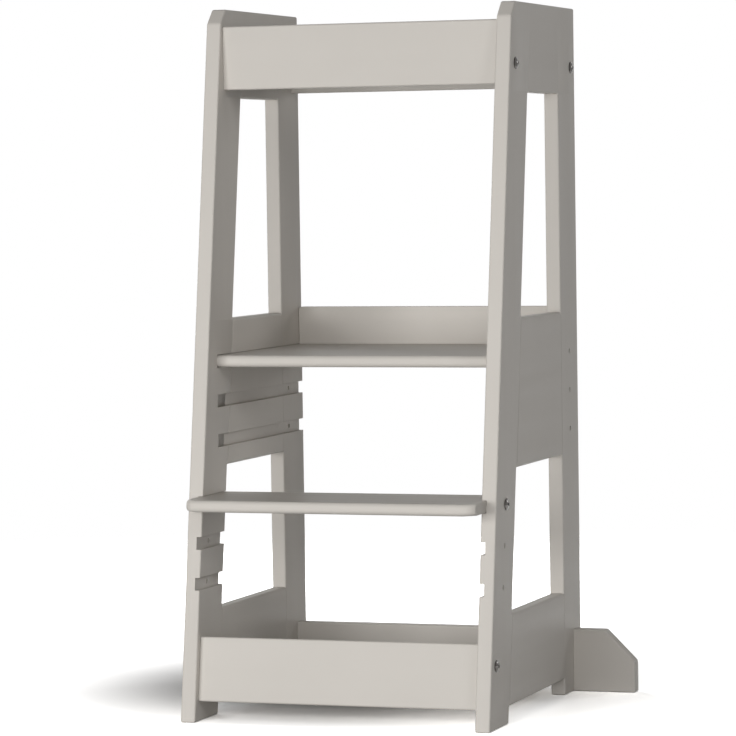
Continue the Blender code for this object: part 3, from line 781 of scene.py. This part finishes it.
@dataclass
class BoreChart:
    """Every hole of the tower, worked out from the fittings that sit in it."""

    layout: Layout
    bolt_radius: float = 0.0033
    dowel_radius: float = 0.0043
    nut_radius: float = 0.0053
    nut_sides: int = 32
    nut_cover: float = 0.0025
    tip_room: float = 0.003
    level_spacing: float = 0.051
    level_count: int = 3
    platform_bore_length: float = 0.030
    bores: list[Bore] = field(default_factory=list)

    def across(self, name: str, x_start: float, x_end: float, y: float, z: float, radius: float) -> None:
        """Add a hidden hole along X."""
        start = Vector((x_start, y, z))
        self.bores.append(Bore(name, start, Vector((x_end, y, z)), radius))

    def through_side(self, name: str, side: Side, y: float, z: float) -> None:
        """Add an open hole through a side frame, with both rims eased."""
        inner = side.value * (self.layout.inner_x - OVERCUT)
        outer = side.value * (self.layout.outer_x + OVERCUT)
        thickness = self.layout.outer_x - self.layout.inner_x
        rims = (OVERCUT + thickness, OVERCUT)
        self.bores.append(
            Bore(name, Vector((inner, y, z)), Vector((outer, y, z)), self.bolt_radius, rims)
        )

    def add_fitted(self, node: str, side: Side) -> None:
        """Add the hole of one fitting that lies along X.

        Args:
            node: CAD node of the fitting.
            side: Side of the tower that it belongs to.
        """
        low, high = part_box(node)
        centre = middle((low, high))
        if node.startswith("bolt"):
            tip = low.x if side is Side.RIGHT else high.x
            start = tip - side.value * self.tip_room
            end = side.value * (self.layout.outer_x + OVERCUT)
            radius = self.bolt_radius
        else:
            stud = "stud" in node
            room = self.tip_room if stud else PLAY
            start, end = low.x - room, high.x + room
            radius = self.bolt_radius if stud else self.dowel_radius
        self.across(node + "_bore", start, end, centre.y, centre.z, radius)

    def add_nut(self, node: str, way: Vector) -> None:
        """Add the blind hole of a barrel nut.

        Args:
            node: CAD node of the nut.
            way: Direction from the hole's floor to its open end.
        """
        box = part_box(node)
        centre = middle(box)
        half = self.nut_half_length(box, way)
        start = centre - way * (half + PLAY)
        end = centre + way * (half + self.nut_cover + OVERCUT)
        rim = (end - start).length - OVERCUT
        self.bores.append(
            Bore(node + "_bore", start, end, self.nut_radius, (rim,), self.nut_sides)
        )

    @staticmethod
    def nut_half_length(box: Box, way: Vector) -> float:
        """Half of a barrel nut's length, from its box and its direction."""
        size = box[1] - box[0]
        width = size.x
        across, along = abs(way.y), abs(way.z)
        if across >= along:
            return (size.y - width * along) / across / 2
        return (size.z - width * across) / along / 2

    def draw(self) -> BoreChart:
        """Fill the chart.

        Returns:
            The same chart.
        """
        rake = self.layout.rake
        backwards = Vector((0.0, 1.0, 0.0))
        raked = Vector((0.0, math.cos(rake.angle), -math.sin(rake.angle)))
        downwards = Vector((0.0, 0.0, -1.0))
        ways = {
            "top_front": backwards,
            "top_back": backwards,
            "bottom_front": raked,
            "bottom_back": backwards,
            "outrigger": backwards,
            "step": downwards,
        }
        for side in Side:
            for node in fitting_nodes(side):
                if node.startswith("barrel_nut"):
                    place = node.removeprefix("barrel_nut_").removesuffix("_" + side.label)
                    self.add_nut(node, ways[place])
                else:
                    self.add_fitted(node, side)
            self.add_spares(side)
        return self

    def add_spares(self, side: Side) -> None:
        """Add the open holes that serve the shelves' other heights.

        Args:
            side: Side of the tower.
        """
        back_y = self.layout.back_leg(0.5)
        shelf_z = middle(self.layout.platform).z
        step_z = middle(self.layout.step).z
        for level in range(self.level_count):
            drop = level * self.level_spacing
            self.through_side(f"platform_level_{level}_{side.label}", side, back_y, shelf_z - drop)
            if level:
                step_y = self.layout.rake.centre(step_z - drop)
                self.through_side(f"step_level_{level}_{side.label}", side, step_y, step_z - drop)
        end = side.value * (self.layout.platform[1].x + OVERCUT)
        start = side.value * (self.layout.platform[1].x - self.platform_bore_length)
        self.across(
            f"platform_end_{side.label}", start, end, back_y, shelf_z, self.bolt_radius
        )

    def cut(self, blank: Blank, box: Box, leave: tuple[str, ...] = ()) -> Blank:
        """Cut every hole of the chart that reaches a board.

        Args:
            blank: The board.
            box: Its box in the frame.
            leave: Words in the names of holes that it doesn't have.

        Returns:
            The same blank.
        """
        for bore in self.bores:
            if bore.near(box) and not any(word in bore.name for word in leave):
                blank.carve(*bore.cutters(blank.name))
        return blank


def fitting_nodes(side: Side) -> list[str]:
    """CAD nodes of one side's fittings, in a fixed order."""
    end = side.label
    bolts = [f"bolt_{place}_{end}" for place in ("top_front", "top_back", "bottom_front", "step")]
    nuts = [
        f"barrel_nut_{place}_{end}"
        for place in ("top_front", "top_back", "bottom_front", "bottom_back", "outrigger", "step")
    ]
    dowels = [f"dowel_{place}_{end}" for place in ("top_front", "top_back", "bottom_front")]
    return bolts + nuts + dowels + [f"outrigger_dowel_{end}", f"outrigger_stud_{end}"]


# Sub-assemblies


@dataclass
class SideFrame:
    """Five boards of one side: a raked leg, an upright leg and three panels between them."""

    side: Side
    layout: Layout
    chart: BoreChart
    shop: Paintshop
    edge_radius: float = 0.0025
    edge_segments: int = 6
    panel_edge_radius: float = 0.0038
    corner_drop: float = 0.0186
    corner_setback: float = 0.0165
    glue_line: float = 0.0003
    groove_depth: float = 0.0065
    groove_play: float = 0.0004
    groove_lip: float = 0.0006
    lip_points: int = 4

    @property
    def faces(self) -> tuple[float, float]:
        """X of the inner and the outer face."""
        return self.side.value * self.layout.inner_x, self.side.value * self.layout.outer_x

    def node(self, part: str) -> str:
        """Name of one of this side's CAD nodes."""
        return f"{part}_{self.side.label}"

    def board(self, part: str, outline: Sequence[tuple[float, float]]) -> Blank:
        """Board across X from an outline of Y and Z."""
        inner, outer = self.faces
        corners = [(inner, y, z) for y, z in outline]
        return Blank.plank(self.node(part) + "_board", corners, (outer - inner, 0.0, 0.0))

    def reach(self, part: str) -> tuple[float, float]:
        """Lowest and highest Z of a panel."""
        low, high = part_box(self.node(part))
        return low.z, high.z

    def open_edge(self, *parts: str) -> Chooser:
        """Choose a leg's edges that don't lie against a panel.

        Args:
            parts: Panels whose seams with the leg stay sharp.

        Returns:
            The test on an edge's two ends.
        """
        spans = [self.reach(part) for part in parts]
        rake, back_leg_y = self.layout.rake, self.layout.back_leg(0.0)

        def chosen(start: Vector, end: Vector) -> bool:
            inner_edge = all(
                min(abs(point.y - rake.back(point.z)), abs(point.y - back_leg_y)) < TOUCH
                for point in (start, end)
            )
            height = (start.z + end.z) / 2
            beside = any(low - TOUCH < height < high + TOUCH for low, high in spans)
            return not (inner_edge and beside)

        return chosen

    def front_leg(self) -> Blank:
        """Raked leg with its cut-off top corner."""
        rake, height = self.layout.rake, self.layout.height
        corner_z = height - self.corner_drop
        outline = [
            (rake.front(0.0), 0.0),
            (rake.front(corner_z), corner_z),
            (rake.front(height) + self.corner_setback, height),
            (rake.back(height), height),
            (rake.back(0.0), 0.0),
        ]
        panels = ("top_panel", "mid_panel", "bottom_panel")
        leg = self.board("front_leg", outline)
        leg.score(*(level for part in panels for level in self.reach(part) if level < height - TOUCH))
        leg.round(self.edge_radius, self.edge_segments, self.open_edge(*panels))
        return leg.carve(*self.platform_grooves(leg.name), *self.step_grooves(leg.name))

    def back_leg(self) -> Blank:
        """Upright leg."""
        rear, front, height = self.layout.rear_y, self.layout.back_leg(0.0), self.layout.height
        outline = [(rear, 0.0), (rear, height), (front, height), (front, 0.0)]
        leg = self.board("back_leg", outline).score(self.reach("top_panel")[0])
        leg.round(self.edge_radius, self.edge_segments, self.open_edge("top_panel"))
        return leg.carve(*self.platform_grooves(leg.name))

    def panel(self, part: str, flush: bool) -> Blank:
        """Panel between the legs.

        Args:
            part: Which panel.
            flush: True where its ends meet the legs without a groove.

        Returns:
            The blank.
        """
        bottom, top = self.reach(part)
        gap = 0.0 if flush else self.glue_line
        rake, rear = self.layout.rake, self.layout.back_leg(0.0) - gap
        ahead = self.layout.back_leg(-0.5)
        outline = [
            (rake.back(bottom) + gap, bottom),
            (rake.back(top) + gap, top),
            (rear, top),
            (rear, bottom),
        ]

        def rounded(start: Vector, end: Vector) -> bool:
            along_board = abs(start.x - end.x) < TOUCH
            level = abs(start.z - end.z) < TOUCH
            front_end = start.y < ahead
            return along_board and (level or (front_end and not flush))

        radius = self.edge_radius if flush else self.panel_edge_radius
        return self.board(part, outline).round(radius, self.edge_segments, rounded)

    def grooves(self, owner: str, word: str, shelf: Box, y_start: float, y_end: float) -> list[Blank]:
        """Cutters of one shelf's grooves in the inner faces, at all its levels and with eased lips.

        Args:
            owner: Name of the board that is cut.
            word: Word for the shelf in the cutters' names.
            shelf: Box of the shelf.
            y_start: Front end of the grooves.
            y_end: Rear end of the grooves.

        Returns:
            The cutters.
        """
        inner, lip, sign = self.layout.inner_x, self.groove_lip, self.side.value
        floor = inner + self.groove_depth
        turns = [math.pi / 2 * step / (self.lip_points - 1) for step in range(self.lip_points)]
        cutters = []
        for level in range(self.chart.level_count):
            drop = level * self.chart.level_spacing
            top = shelf[1].z - drop + self.groove_play
            bottom = shelf[0].z - drop - self.groove_play
            lower = [
                (inner + lip - lip * math.cos(turn), bottom - lip + lip * math.sin(turn))
                for turn in turns
            ]
            upper = [(x, top + bottom - z) for x, z in reversed(lower)]
            section = [
                (inner - OVERCUT, bottom - lip),
                *lower,
                (floor, bottom),
                (floor, top),
                *upper,
                (inner - OVERCUT, top + lip),
            ]
            corners = [(sign * x, y_start, z) for x, z in section]
            push = (0.0, y_end - y_start, 0.0)
            cutters.append(Blank.plank(f"{owner}_{word}_{level}", corners, push))
        return cutters

    def platform_grooves(self, owner: str) -> list[Blank]:
        """Grooves of the standing platform, open at the rear."""
        shelf = self.layout.platform
        start = shelf[0].y - TOUCH
        return self.grooves(owner, "platform_groove", shelf, start, self.layout.rear_y + OVERCUT)

    def step_grooves(self, owner: str) -> list[Blank]:
        """Grooves of the step, open at the front and the rear of the leg."""
        rake = self.layout.rake
        start = rake.foot_y - OVERCUT
        end = rake.back(self.layout.step[1].z) + OVERCUT
        return self.grooves(owner, "step_groove", self.layout.step, start, end)

    def build(self) -> None:
        """Shape and dress the five boards."""
        mid = self.panel("mid_panel", flush=False)
        mid.carve(*self.platform_grooves(mid.name))
        boards = {
            "front_leg": (self.front_leg(), Grain.RAKED),
            "back_leg": (self.back_leg(), Grain.UPRIGHT),
            "top_panel": (self.panel("top_panel", flush=True), Grain.ALONG_Y),
            "mid_panel": (mid, Grain.ALONG_Y),
            "bottom_panel": (self.panel("bottom_panel", flush=False), Grain.ALONG_Y),
        }
        for part, (blank, grain) in boards.items():
            node = self.node(part)
            self.chart.cut(blank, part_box(node), leave=("platform_end",))
            blank.finish(self.shop.material("lacquer", grain), "lacquer", TOWER_BODY, node)


@dataclass
class Rails:
    """Four rails that tie the side frames, and the two outriggers behind."""

    layout: Layout
    chart: BoreChart
    shop: Paintshop
    edge_radius: float = 0.0025
    edge_segments: int = 6
    raked_rail_thickness: float = 0.019
    raked_rail_height: float = 0.0815
    outrigger_cut: float = 0.0405

    def raked(self, node: str) -> Blank:
        """Rail that leans with the front legs."""
        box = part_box(node)
        half = Vector(
            ((box[1] - box[0]).x / 2, self.raked_rail_thickness / 2, self.raked_rail_height / 2)
        )
        lean = Matrix.Rotation(-self.layout.rake.angle, 4, "X")
        blank = Blank.block(node + "_board", -half, half)
        return blank.place(Matrix.Translation(middle(box)) @ lean)

    def outrigger(self, node: str, side: Side) -> Blank:
        """Foot board with its sloped outer corner."""
        low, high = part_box(node)
        inner, outer = (low.x, high.x) if side is Side.RIGHT else (high.x, low.x)
        cut = self.outrigger_cut
        outline = [
            (inner, low.y, low.z),
            (outer, low.y, low.z),
            (outer, low.y, high.z - cut),
            (outer - side.value * cut, low.y, high.z),
            (inner, low.y, high.z),
        ]
        return Blank.plank(node + "_board", outline, (0.0, high.y - low.y, 0.0))

    def off_seat(self, node: str) -> Chooser:
        """Choose an outrigger's edges, but for those of the end that meets the side frame."""
        seat = min(abs(corner.x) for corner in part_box(node))

        def chosen(start: Vector, end: Vector) -> bool:
            return max(abs(start.x), abs(end.x)) > seat + TOUCH

        return chosen

    @staticmethod
    def along_rail(start: Vector, end: Vector) -> bool:
        """Choose a rail's long edges, so that its ends stay square."""
        return abs(start.x - end.x) > TOUCH

    def build(self) -> None:
        """Shape and dress the rails and the outriggers."""
        uprights = ("top_rail_front", "top_rail_back", "bottom_rail_back")
        blanks = {node: Blank.block(node + "_board", *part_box(node)) for node in uprights}
        blanks["bottom_rail_front"] = self.raked("bottom_rail_front")
        for blank in blanks.values():
            blank.round(self.edge_radius, self.edge_segments, self.along_rail)
        for side in Side:
            node = f"outrigger_{side.label}"
            board = self.outrigger(node, side)
            blanks[node] = board.round(self.edge_radius, self.edge_segments, self.off_seat(node))
        for node, blank in blanks.items():
            self.chart.cut(blank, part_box(node))
            blank.finish(self.shop.material("lacquer"), "lacquer", TOWER_BODY, node)


@dataclass
class Shelves:
    """The standing platform with its guard, and the step."""

    layout: Layout
    chart: BoreChart
    shop: Paintshop
    nose_radius: float = 0.006
    nose_segments: int = 10
    edge_radius: float = 0.0015
    edge_segments: int = 4
    step_corner: float = 0.012
    guard_corner: float = 0.004
    screw_radius: float = 0.0023
    screw_head_radius: float = 0.004
    screw_head_height: float = 0.0024

    def screw_cutters(self, owner: str) -> list[Blank]:
        """Countersunk holes of the guard's screws.

        Args:
            owner: Name of the board that is cut.

        Returns:
            The cutters.
        """
        cutters = []
        slope = (self.screw_head_radius - self.screw_radius) / self.screw_head_height
        for node in GUARD_SCREWS:
            low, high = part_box(node)
            top = high.z - low.z + PLAY
            sink = self.screw_head_height + PLAY
            profile = [
                (0.0, top),
                (self.screw_radius, top),
                (self.screw_radius, sink),
                (self.screw_radius + slope * (sink + OVERCUT), -OVERCUT),
                (0.0, -OVERCUT),
            ]
            centre = middle((low, high))
            shape = Blank.turned(f"{owner}_{node}_hole", profile, HOLE_SIDES)
            cutters.append(shape.place(Matrix.Translation((centre.x, centre.y, low.z))))
        return cutters

    def shelf(self, board: Blank, box: Box, corner: float, leave: tuple[str, ...] = ()) -> Blank:
        """Round a shelf's nose and its other edges, and cut its holes.

        Args:
            board: The raw shelf.
            box: Its box in the frame.
            corner: Size of its cut front corners.
            leave: Words in the names of holes that it doesn't have.

        Returns:
            The same blank.
        """
        low, high = box

        def nose(start: Vector, end: Vector) -> bool:
            level = abs(start.z - end.z) < TOUCH
            return level and max(start.y, end.y) < low.y + corner + TOUCH

        def rest(start: Vector, end: Vector) -> bool:
            at_end = min(abs(start.x), abs(end.x)) > high.x - TOUCH
            return at_end or min(start.y, end.y) > high.y - TOUCH

        board.round(self.nose_radius, self.nose_segments, nose)
        board.round(self.edge_radius, self.edge_segments, rest)
        return self.chart.cut(board, box, leave)

    def platform(self) -> None:
        """Standing platform with a round nose."""
        box = self.layout.platform
        board = self.shelf(Blank.block("platform_board", *box), box, 0.0, leave=("platform_level",))
        board.carve(*self.screw_cutters(board.name))
        lacquer = self.shop.material("shelf_lacquer")
        board.finish(lacquer, "shelf_lacquer", PLATFORM_BODY, "platform")

    def guard(self) -> None:
        """Low board along the platform's back edge."""
        low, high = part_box("platform_guard")
        board = Blank.block("platform_guard_board", low, high)

        def top_corner(start: Vector, end: Vector) -> bool:
            return min(start.z, end.z) > high.z - TOUCH and abs(start.x - end.x) < TOUCH

        def above_seat(start: Vector, end: Vector) -> bool:
            return max(start.z, end.z) > low.z + TOUCH

        board.round(self.guard_corner, self.edge_segments, top_corner)
        board.round(self.edge_radius, self.edge_segments, above_seat)
        board.carve(*self.screw_cutters(board.name))
        board.finish(self.shop.material("lacquer"), "lacquer", PLATFORM_BODY, "platform_guard")

    def step(self) -> None:
        """Step with cut front corners and a round nose that follows them."""
        low, high = self.layout.step
        cut = self.step_corner
        outline = [
            (low.x, low.y + cut, low.z),
            (low.x + cut, low.y, low.z),
            (high.x - cut, low.y, low.z),
            (high.x, low.y + cut, low.z),
            (high.x, high.y, low.z),
            (low.x, high.y, low.z),
        ]
        board = Blank.plank("step_board", outline, (0.0, 0.0, high.z - low.z))
        self.shelf(board, self.layout.step, cut)
        board.finish(self.shop.material("shelf_lacquer"), "shelf_lacquer", TOWER_BODY, "step")

    def build(self) -> None:
        """Shape and dress the three boards."""
        self.platform()
        self.guard()
        self.step()


@dataclass
class Fittings:
    """Bolts, barrel nuts, screws, dowels and studs."""

    chart: BoreChart
    shop: Paintshop
    head_radius: float = 0.0075
    head_height: float = 0.0036
    head_rim: float = 0.0010
    shank_radius: float = 0.003
    socket_flats: float = 0.004
    socket_depth: float = 0.0022
    facets: int = 48
    dome_points: int = 10
    nut_radius: float = 0.005
    nut_ease: float = 0.0005
    nut_slot_width: float = 0.0012
    nut_slot_depth: float = 0.0010
    screw_radius: float = 0.002
    screw_head_radius: float = 0.004
    screw_head_height: float = 0.0024
    screw_rim: float = 0.0002
    screw_point: float = 0.005
    cross_reach: float = 0.0022
    cross_width: float = 0.0010
    cross_depth: float = 0.0014

    def bolt(self, node: str, side: Side) -> None:
        """Domed bolt with a hexagon socket.

        Args:
            node: CAD node of the bolt.
            side: Side that its head is on.
        """
        low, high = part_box(node)
        centre = middle((low, high))
        length = (high - low).x - self.head_height
        crown = self.head_height - self.head_rim
        ball = (self.head_radius**2 + crown**2) / (2 * crown)
        reach = math.asin(self.head_radius / ball)
        turns = [reach * step / self.dome_points for step in range(self.dome_points + 1)]
        profile = [
            (ball * math.sin(turn), self.head_height - ball * (1 - math.cos(turn)))
            for turn in turns
        ]
        ease = self.head_rim / 4
        profile += [
            (self.head_radius, ease),
            (self.head_radius - ease, 0.0),
            (self.shank_radius, 0.0),
            (self.shank_radius, -length + ease),
            (self.shank_radius - ease, -length),
            (0.0, -length),
        ]
        bolt = Blank.turned(node + "_steel", profile, self.facets)
        corner_radius = self.socket_flats / math.sqrt(3)
        floor = self.head_height - self.socket_depth
        socket = Blank.rod(
            node + "_socket",
            corner_radius,
            Vector((0.0, 0.0, floor)),
            Vector((0.0, 0.0, self.head_height + OVERCUT)),
            6,
        )
        seat = high.x - self.head_height if side is Side.RIGHT else low.x + self.head_height
        place = Matrix.Translation((seat, centre.y, centre.z)) @ Matrix.Rotation(
            side.value * math.pi / 2, 4, "Y"
        )
        bolt.place(place)
        bolt.carve(socket.place(place))
        bolt.finish(self.shop.material("bolt_steel"), "bolt_steel", TOWER_BODY, node)

    def nut(self, node: str, bore: Bore) -> None:
        """Barrel nut with a screwdriver slot in its open end.

        Args:
            node: CAD node of the nut.
            bore: The blind hole that it lies in.
        """
        way = (bore.end - bore.start).normalized()
        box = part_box(node)
        centre = middle(box)
        half = self.chart.nut_half_length(box, way)
        ease, radius = self.nut_ease, self.nut_radius
        profile = [
            (0.0, half),
            (radius - ease, half),
            (radius, half - ease),
            (radius, ease - half),
            (radius - ease, -half),
            (0.0, -half),
        ]
        nut = Blank.turned(node + "_steel", profile, self.facets)
        turn = way.to_track_quat("Z", "X").to_matrix().to_4x4()
        place = Matrix.Translation(centre) @ turn
        slot_half = Vector((self.nut_slot_width / 2, radius + OVERCUT, self.nut_slot_depth))
        slot_centre = Vector((0.0, 0.0, half))
        slot = Blank.block(node + "_slot", slot_centre - slot_half, slot_centre + slot_half)
        reach = Vector((radius + OVERCUT, 0.0, 0.0))
        ends = (centre - reach, centre + reach)
        hole = Blank.rod(node + "_thread", self.shank_radius + PLAY, *ends, HOLE_SIDES)
        nut.place(place)
        nut.carve(slot.place(place), hole)
        nut.finish(self.shop.material("zinc"), "zinc", TOWER_BODY, node)

    def screw(self, node: str) -> None:
        """Countersunk screw with a cross recess, driven upwards."""
        low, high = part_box(node)
        centre = middle((low, high))
        length = high.z - low.z
        profile = [
            (0.0, length),
            (self.screw_radius, length - self.screw_point),
            (self.screw_radius, self.screw_head_height),
            (self.screw_head_radius, self.screw_rim),
            (self.screw_head_radius, 0.0),
            (0.0, 0.0),
        ]
        screw = Blank.turned(node + "_steel", profile, self.facets)
        long, short = self.cross_reach, self.cross_width / 2
        for number, (reach_x, reach_y) in enumerate(((long, short), (short, long))):
            half = Vector((reach_x, reach_y, self.cross_depth))
            screw.carve(Blank.block(f"{node}_cross_{number}", -half, half))
        piece = screw.finish(self.shop.material("zinc"), "zinc", PLATFORM_BODY, node)
        piece.data.transform(Matrix.Translation((centre.x, centre.y, low.z)))

    def build(self) -> None:
        """Shape and dress the bolts, barrel nuts and guard screws."""
        bores = {bore.name: bore for bore in self.chart.bores}
        for side in Side:
            for node in fitting_nodes(side):
                if node.startswith("bolt"):
                    self.bolt(node, side)
                elif node.startswith("barrel_nut"):
                    self.nut(node, bores[node + "_bore"])
        for node in GUARD_SCREWS:
            self.screw(node)

    def dress_hidden(self, nodes: dict[str, bpy.types.Object]) -> None:
        """Give the dowels and studs, which stay as they are in the frame, their finish.

        Args:
            nodes: The frame's nodes by name.
        """
        for name, node in nodes.items():
            slot = "beech" if "dowel" in name else "zinc"
            if "dowel" in name or "stud" in name:
                node.data.materials.clear()
                node.data.materials.append(self.shop.material(slot))
                LOG.info("%s: dressed in %s", name, slot)


# Studio


@dataclass(frozen=True)
class Softbox:
    """Square soft lamp, turned to the middle of the tower."""

    name: str
    place: tuple[float, float, float]
    size: float
    watts: float
    target: tuple[float, float, float] = (0.0, 0.0, 0.42)

    def build(self) -> None:
        """Hang the lamp."""
        lamp = bpy.data.lights.new(self.name, "AREA")
        lamp.shape = "SQUARE"
        lamp.size = self.size
        lamp.energy = self.watts
        thing = bpy.data.objects.new(self.name, lamp)
        thing.location = self.place
        way = Vector(self.target) - Vector(self.place)
        thing.rotation_euler = way.to_track_quat("-Z", "Y").to_euler()
        thing.visible_camera = False
        bpy.context.scene.collection.objects.link(thing)


@dataclass(frozen=True)
class Viewpoint:
    """The photographer's place, as a direction and a distance from an aimed point."""

    azimuth: float = 18.791
    elevation: float = 2.951
    roll: float = -0.850
    distance: float = 4.8157
    aim: tuple[float, float, float] = (-0.02906, 0.0375, 0.43470)
    lens: float = 181.24
    sensor: float = 36.0
    far_limit: float = 50.0

    def build(self) -> None:
        """Set up the camera."""
        azimuth, elevation = math.radians(self.azimuth), math.radians(self.elevation)
        back = Vector(
            (
                math.sin(azimuth) * math.cos(elevation),
                -math.cos(azimuth) * math.cos(elevation),
                math.sin(elevation),
            )
        )
        right = (-back).cross(Vector((0.0, 0.0, 1.0))).normalized()
        up = right.cross(-back)
        turn = Matrix((right, up, back)).transposed()
        turn = Matrix.Rotation(math.radians(self.roll), 3, back) @ turn
        camera = bpy.data.cameras.new("camera")
        camera.sensor_width = self.sensor
        camera.lens = self.lens
        camera.clip_end = self.far_limit
        thing = bpy.data.objects.new("camera", camera)
        thing.matrix_world = Matrix.Translation(Vector(self.aim) + back * self.distance) @ turn.to_4x4()
        bpy.context.scene.collection.objects.link(thing)
        bpy.context.scene.camera = thing


@dataclass(frozen=True)
class Studio:
    """White floor that keeps the tower's shadow and has painted shade round it, pale surroundings and
    soft lamps.
    """

    ambient: tuple[float, float, float] = (0.065, 0.065, 0.065)
    floor_radius: float = 2.4
    floor_facets: int = 96
    floor_fade: float = 1.2
    floor_bounce: float = 0.36
    # Painted shade on the floor: its whiteness drops to a low gain round this point, left of and behind
    # the tower's middle
    shade_centre: tuple[float, float, float] = (-0.12, 0.16, 0.0)
    shade_inner: float = 0.12
    shade_outer: float = 0.50
    shade_gain: float = 0.42
    open_gain: float = 3.9
    open_radius: float = 1.3
    open_lift: float = 1.7
    lamps: tuple[Softbox, ...] = (
        Softbox("front_left_lamp", (-1.094, -3.007, 0.6), 1.1, 41.5),
        Softbox("front_lamp", (0.0, -3.2, 0.6), 1.1, 26.0),
        Softbox("front_right_lamp", (1.094, -3.007, 0.6), 1.1, 13.5),
        Softbox("right_lamp", (2.65, -1.7, 1.6), 1.0, 16.5),
        Softbox("rear_right_lamp", (2.3, 2.2, 1.1), 0.6, 8.0),
        Softbox("rear_left_lamp", (-2.4, 2.2, 0.9), 1.6, 50.0),
    )

    def floor(self) -> None:
        """Lay the floor, white to the eye and pale to the light, fading into the surroundings."""
        work = bmesh.new()
        bmesh.ops.create_circle(
            work, cap_ends=True, segments=self.floor_facets, radius=self.floor_radius
        )
        mesh = bpy.data.meshes.new("floor")
        work.to_mesh(mesh)
        work.free()
        floor = bpy.data.objects.new("floor", mesh)
        bpy.context.scene.collection.objects.link(floor)
        floor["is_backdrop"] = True

        bench = NodeBench.open("studio_floor")
        nodes = bench.material.node_tree.nodes
        nodes.remove(bench.shader)
        seen = bench.add("ShaderNodeBsdfDiffuse")
        bench.link(self.floor_white(bench), seen.inputs["Color"])
        lit = bench.add("ShaderNodeBsdfDiffuse")
        lit.inputs["Color"].default_value = (self.floor_bounce,) * 3 + (1.0,)
        surface = bench.either(bench.looked_at(), lit.outputs["BSDF"], seen.outputs["BSDF"])
        place = bench.add("ShaderNodeTexCoord")
        length = bench.add("ShaderNodeVectorMath", operation="LENGTH")
        bench.link(place.outputs["Object"], length.inputs[0])
        span = (self.floor_radius - self.floor_fade, self.floor_radius)
        fade = bench.ramp(length.outputs["Value"], span, kind="SMOOTHSTEP")
        clear = bench.add("ShaderNodeBsdfTransparent")
        surface = bench.either(fade, surface, clear.outputs["BSDF"])
        bench.link(surface, nodes["Material Output"].inputs["Surface"])
        mesh.materials.append(bench.material)

    def floor_white(self, bench: NodeBench) -> bpy.types.NodeSocket:
        """Whiteness of the floor to the eye, with painted shade that dims it round a point left of and
        behind the tower's middle, and full in the open.

        Args:
            bench: Bench of the floor's material.

        Returns:
            The socket of the value.
        """
        place = bench.add("ShaderNodeTexCoord")
        distance = bench.add("ShaderNodeVectorMath", operation="DISTANCE")
        distance.inputs[1].default_value = self.shade_centre
        bench.link(place.outputs["Object"], distance.inputs[0])
        # Painted shade: from full whiteness in the open down to a low gain near the shade's centre
        near = bench.ramp(
            distance.outputs["Value"],
            (self.shade_inner, self.shade_outer),
            (self.shade_gain, self.open_gain),
            kind="SMOOTHSTEP",
        )
        far = bench.ramp(
            distance.outputs["Value"], (self.shade_outer, self.open_radius), (1.0, self.open_lift)
        )
        product = bench.add("ShaderNodeMath", operation="MULTIPLY")
        bench.link(near, product.inputs[0])
        bench.link(far, product.inputs[1])
        return product.outputs["Value"]

    def surroundings(self) -> None:
        """Set the world: white where it is seen or mirrored, dimmer as light."""
        world = bpy.data.worlds.new("studio")
        world.use_nodes = True
        bpy.context.scene.world = world
        bench = NodeBench(world)
        nodes = world.node_tree.nodes
        dim = nodes["Background"]
        dim.inputs["Color"].default_value = (*self.ambient, 1.0)
        white = bench.add("ShaderNodeBackground")
        white.inputs["Color"].default_value = (1.0, 1.0, 1.0, 1.0)
        surface = bench.either(
            bench.looked_at(), dim.outputs["Background"], white.outputs["Background"]
        )
        bench.link(surface, nodes["World Output"].inputs["Surface"])

    def build(self) -> None:
        """Set up the floor, the surroundings and the lamps."""
        self.floor()
        self.surroundings()
        for lamp in self.lamps:
            lamp.build()
        bpy.context.scene.view_settings.view_transform = "Standard"


def corners() -> list[list[float]]:
    """Lowest and highest corner of the shown object, as plain lists."""
    return [list(corner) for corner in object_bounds()]


def main() -> None:
    """Load the frame, build every sub-assembly around it and set up the studio."""
    logging.basicConfig(level=logging.INFO, format="%(name)s: %(message)s")
    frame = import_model()
    Viewpoint().build()
    layout = Layout.read()
    chart = BoreChart(layout).draw()
    shop = Paintshop()
    for side in Side:
        SideFrame(side, layout, chart, shop).build()
    Rails(layout, chart, shop).build()
    Shelves(layout, chart, shop).build()
    fittings = Fittings(chart, shop)
    fittings.build()
    fittings.dress_hidden(frame["nodes"])
    Studio().build()
    LOG.info("all pieces are in place")


if __name__ == "__main__":
    main()
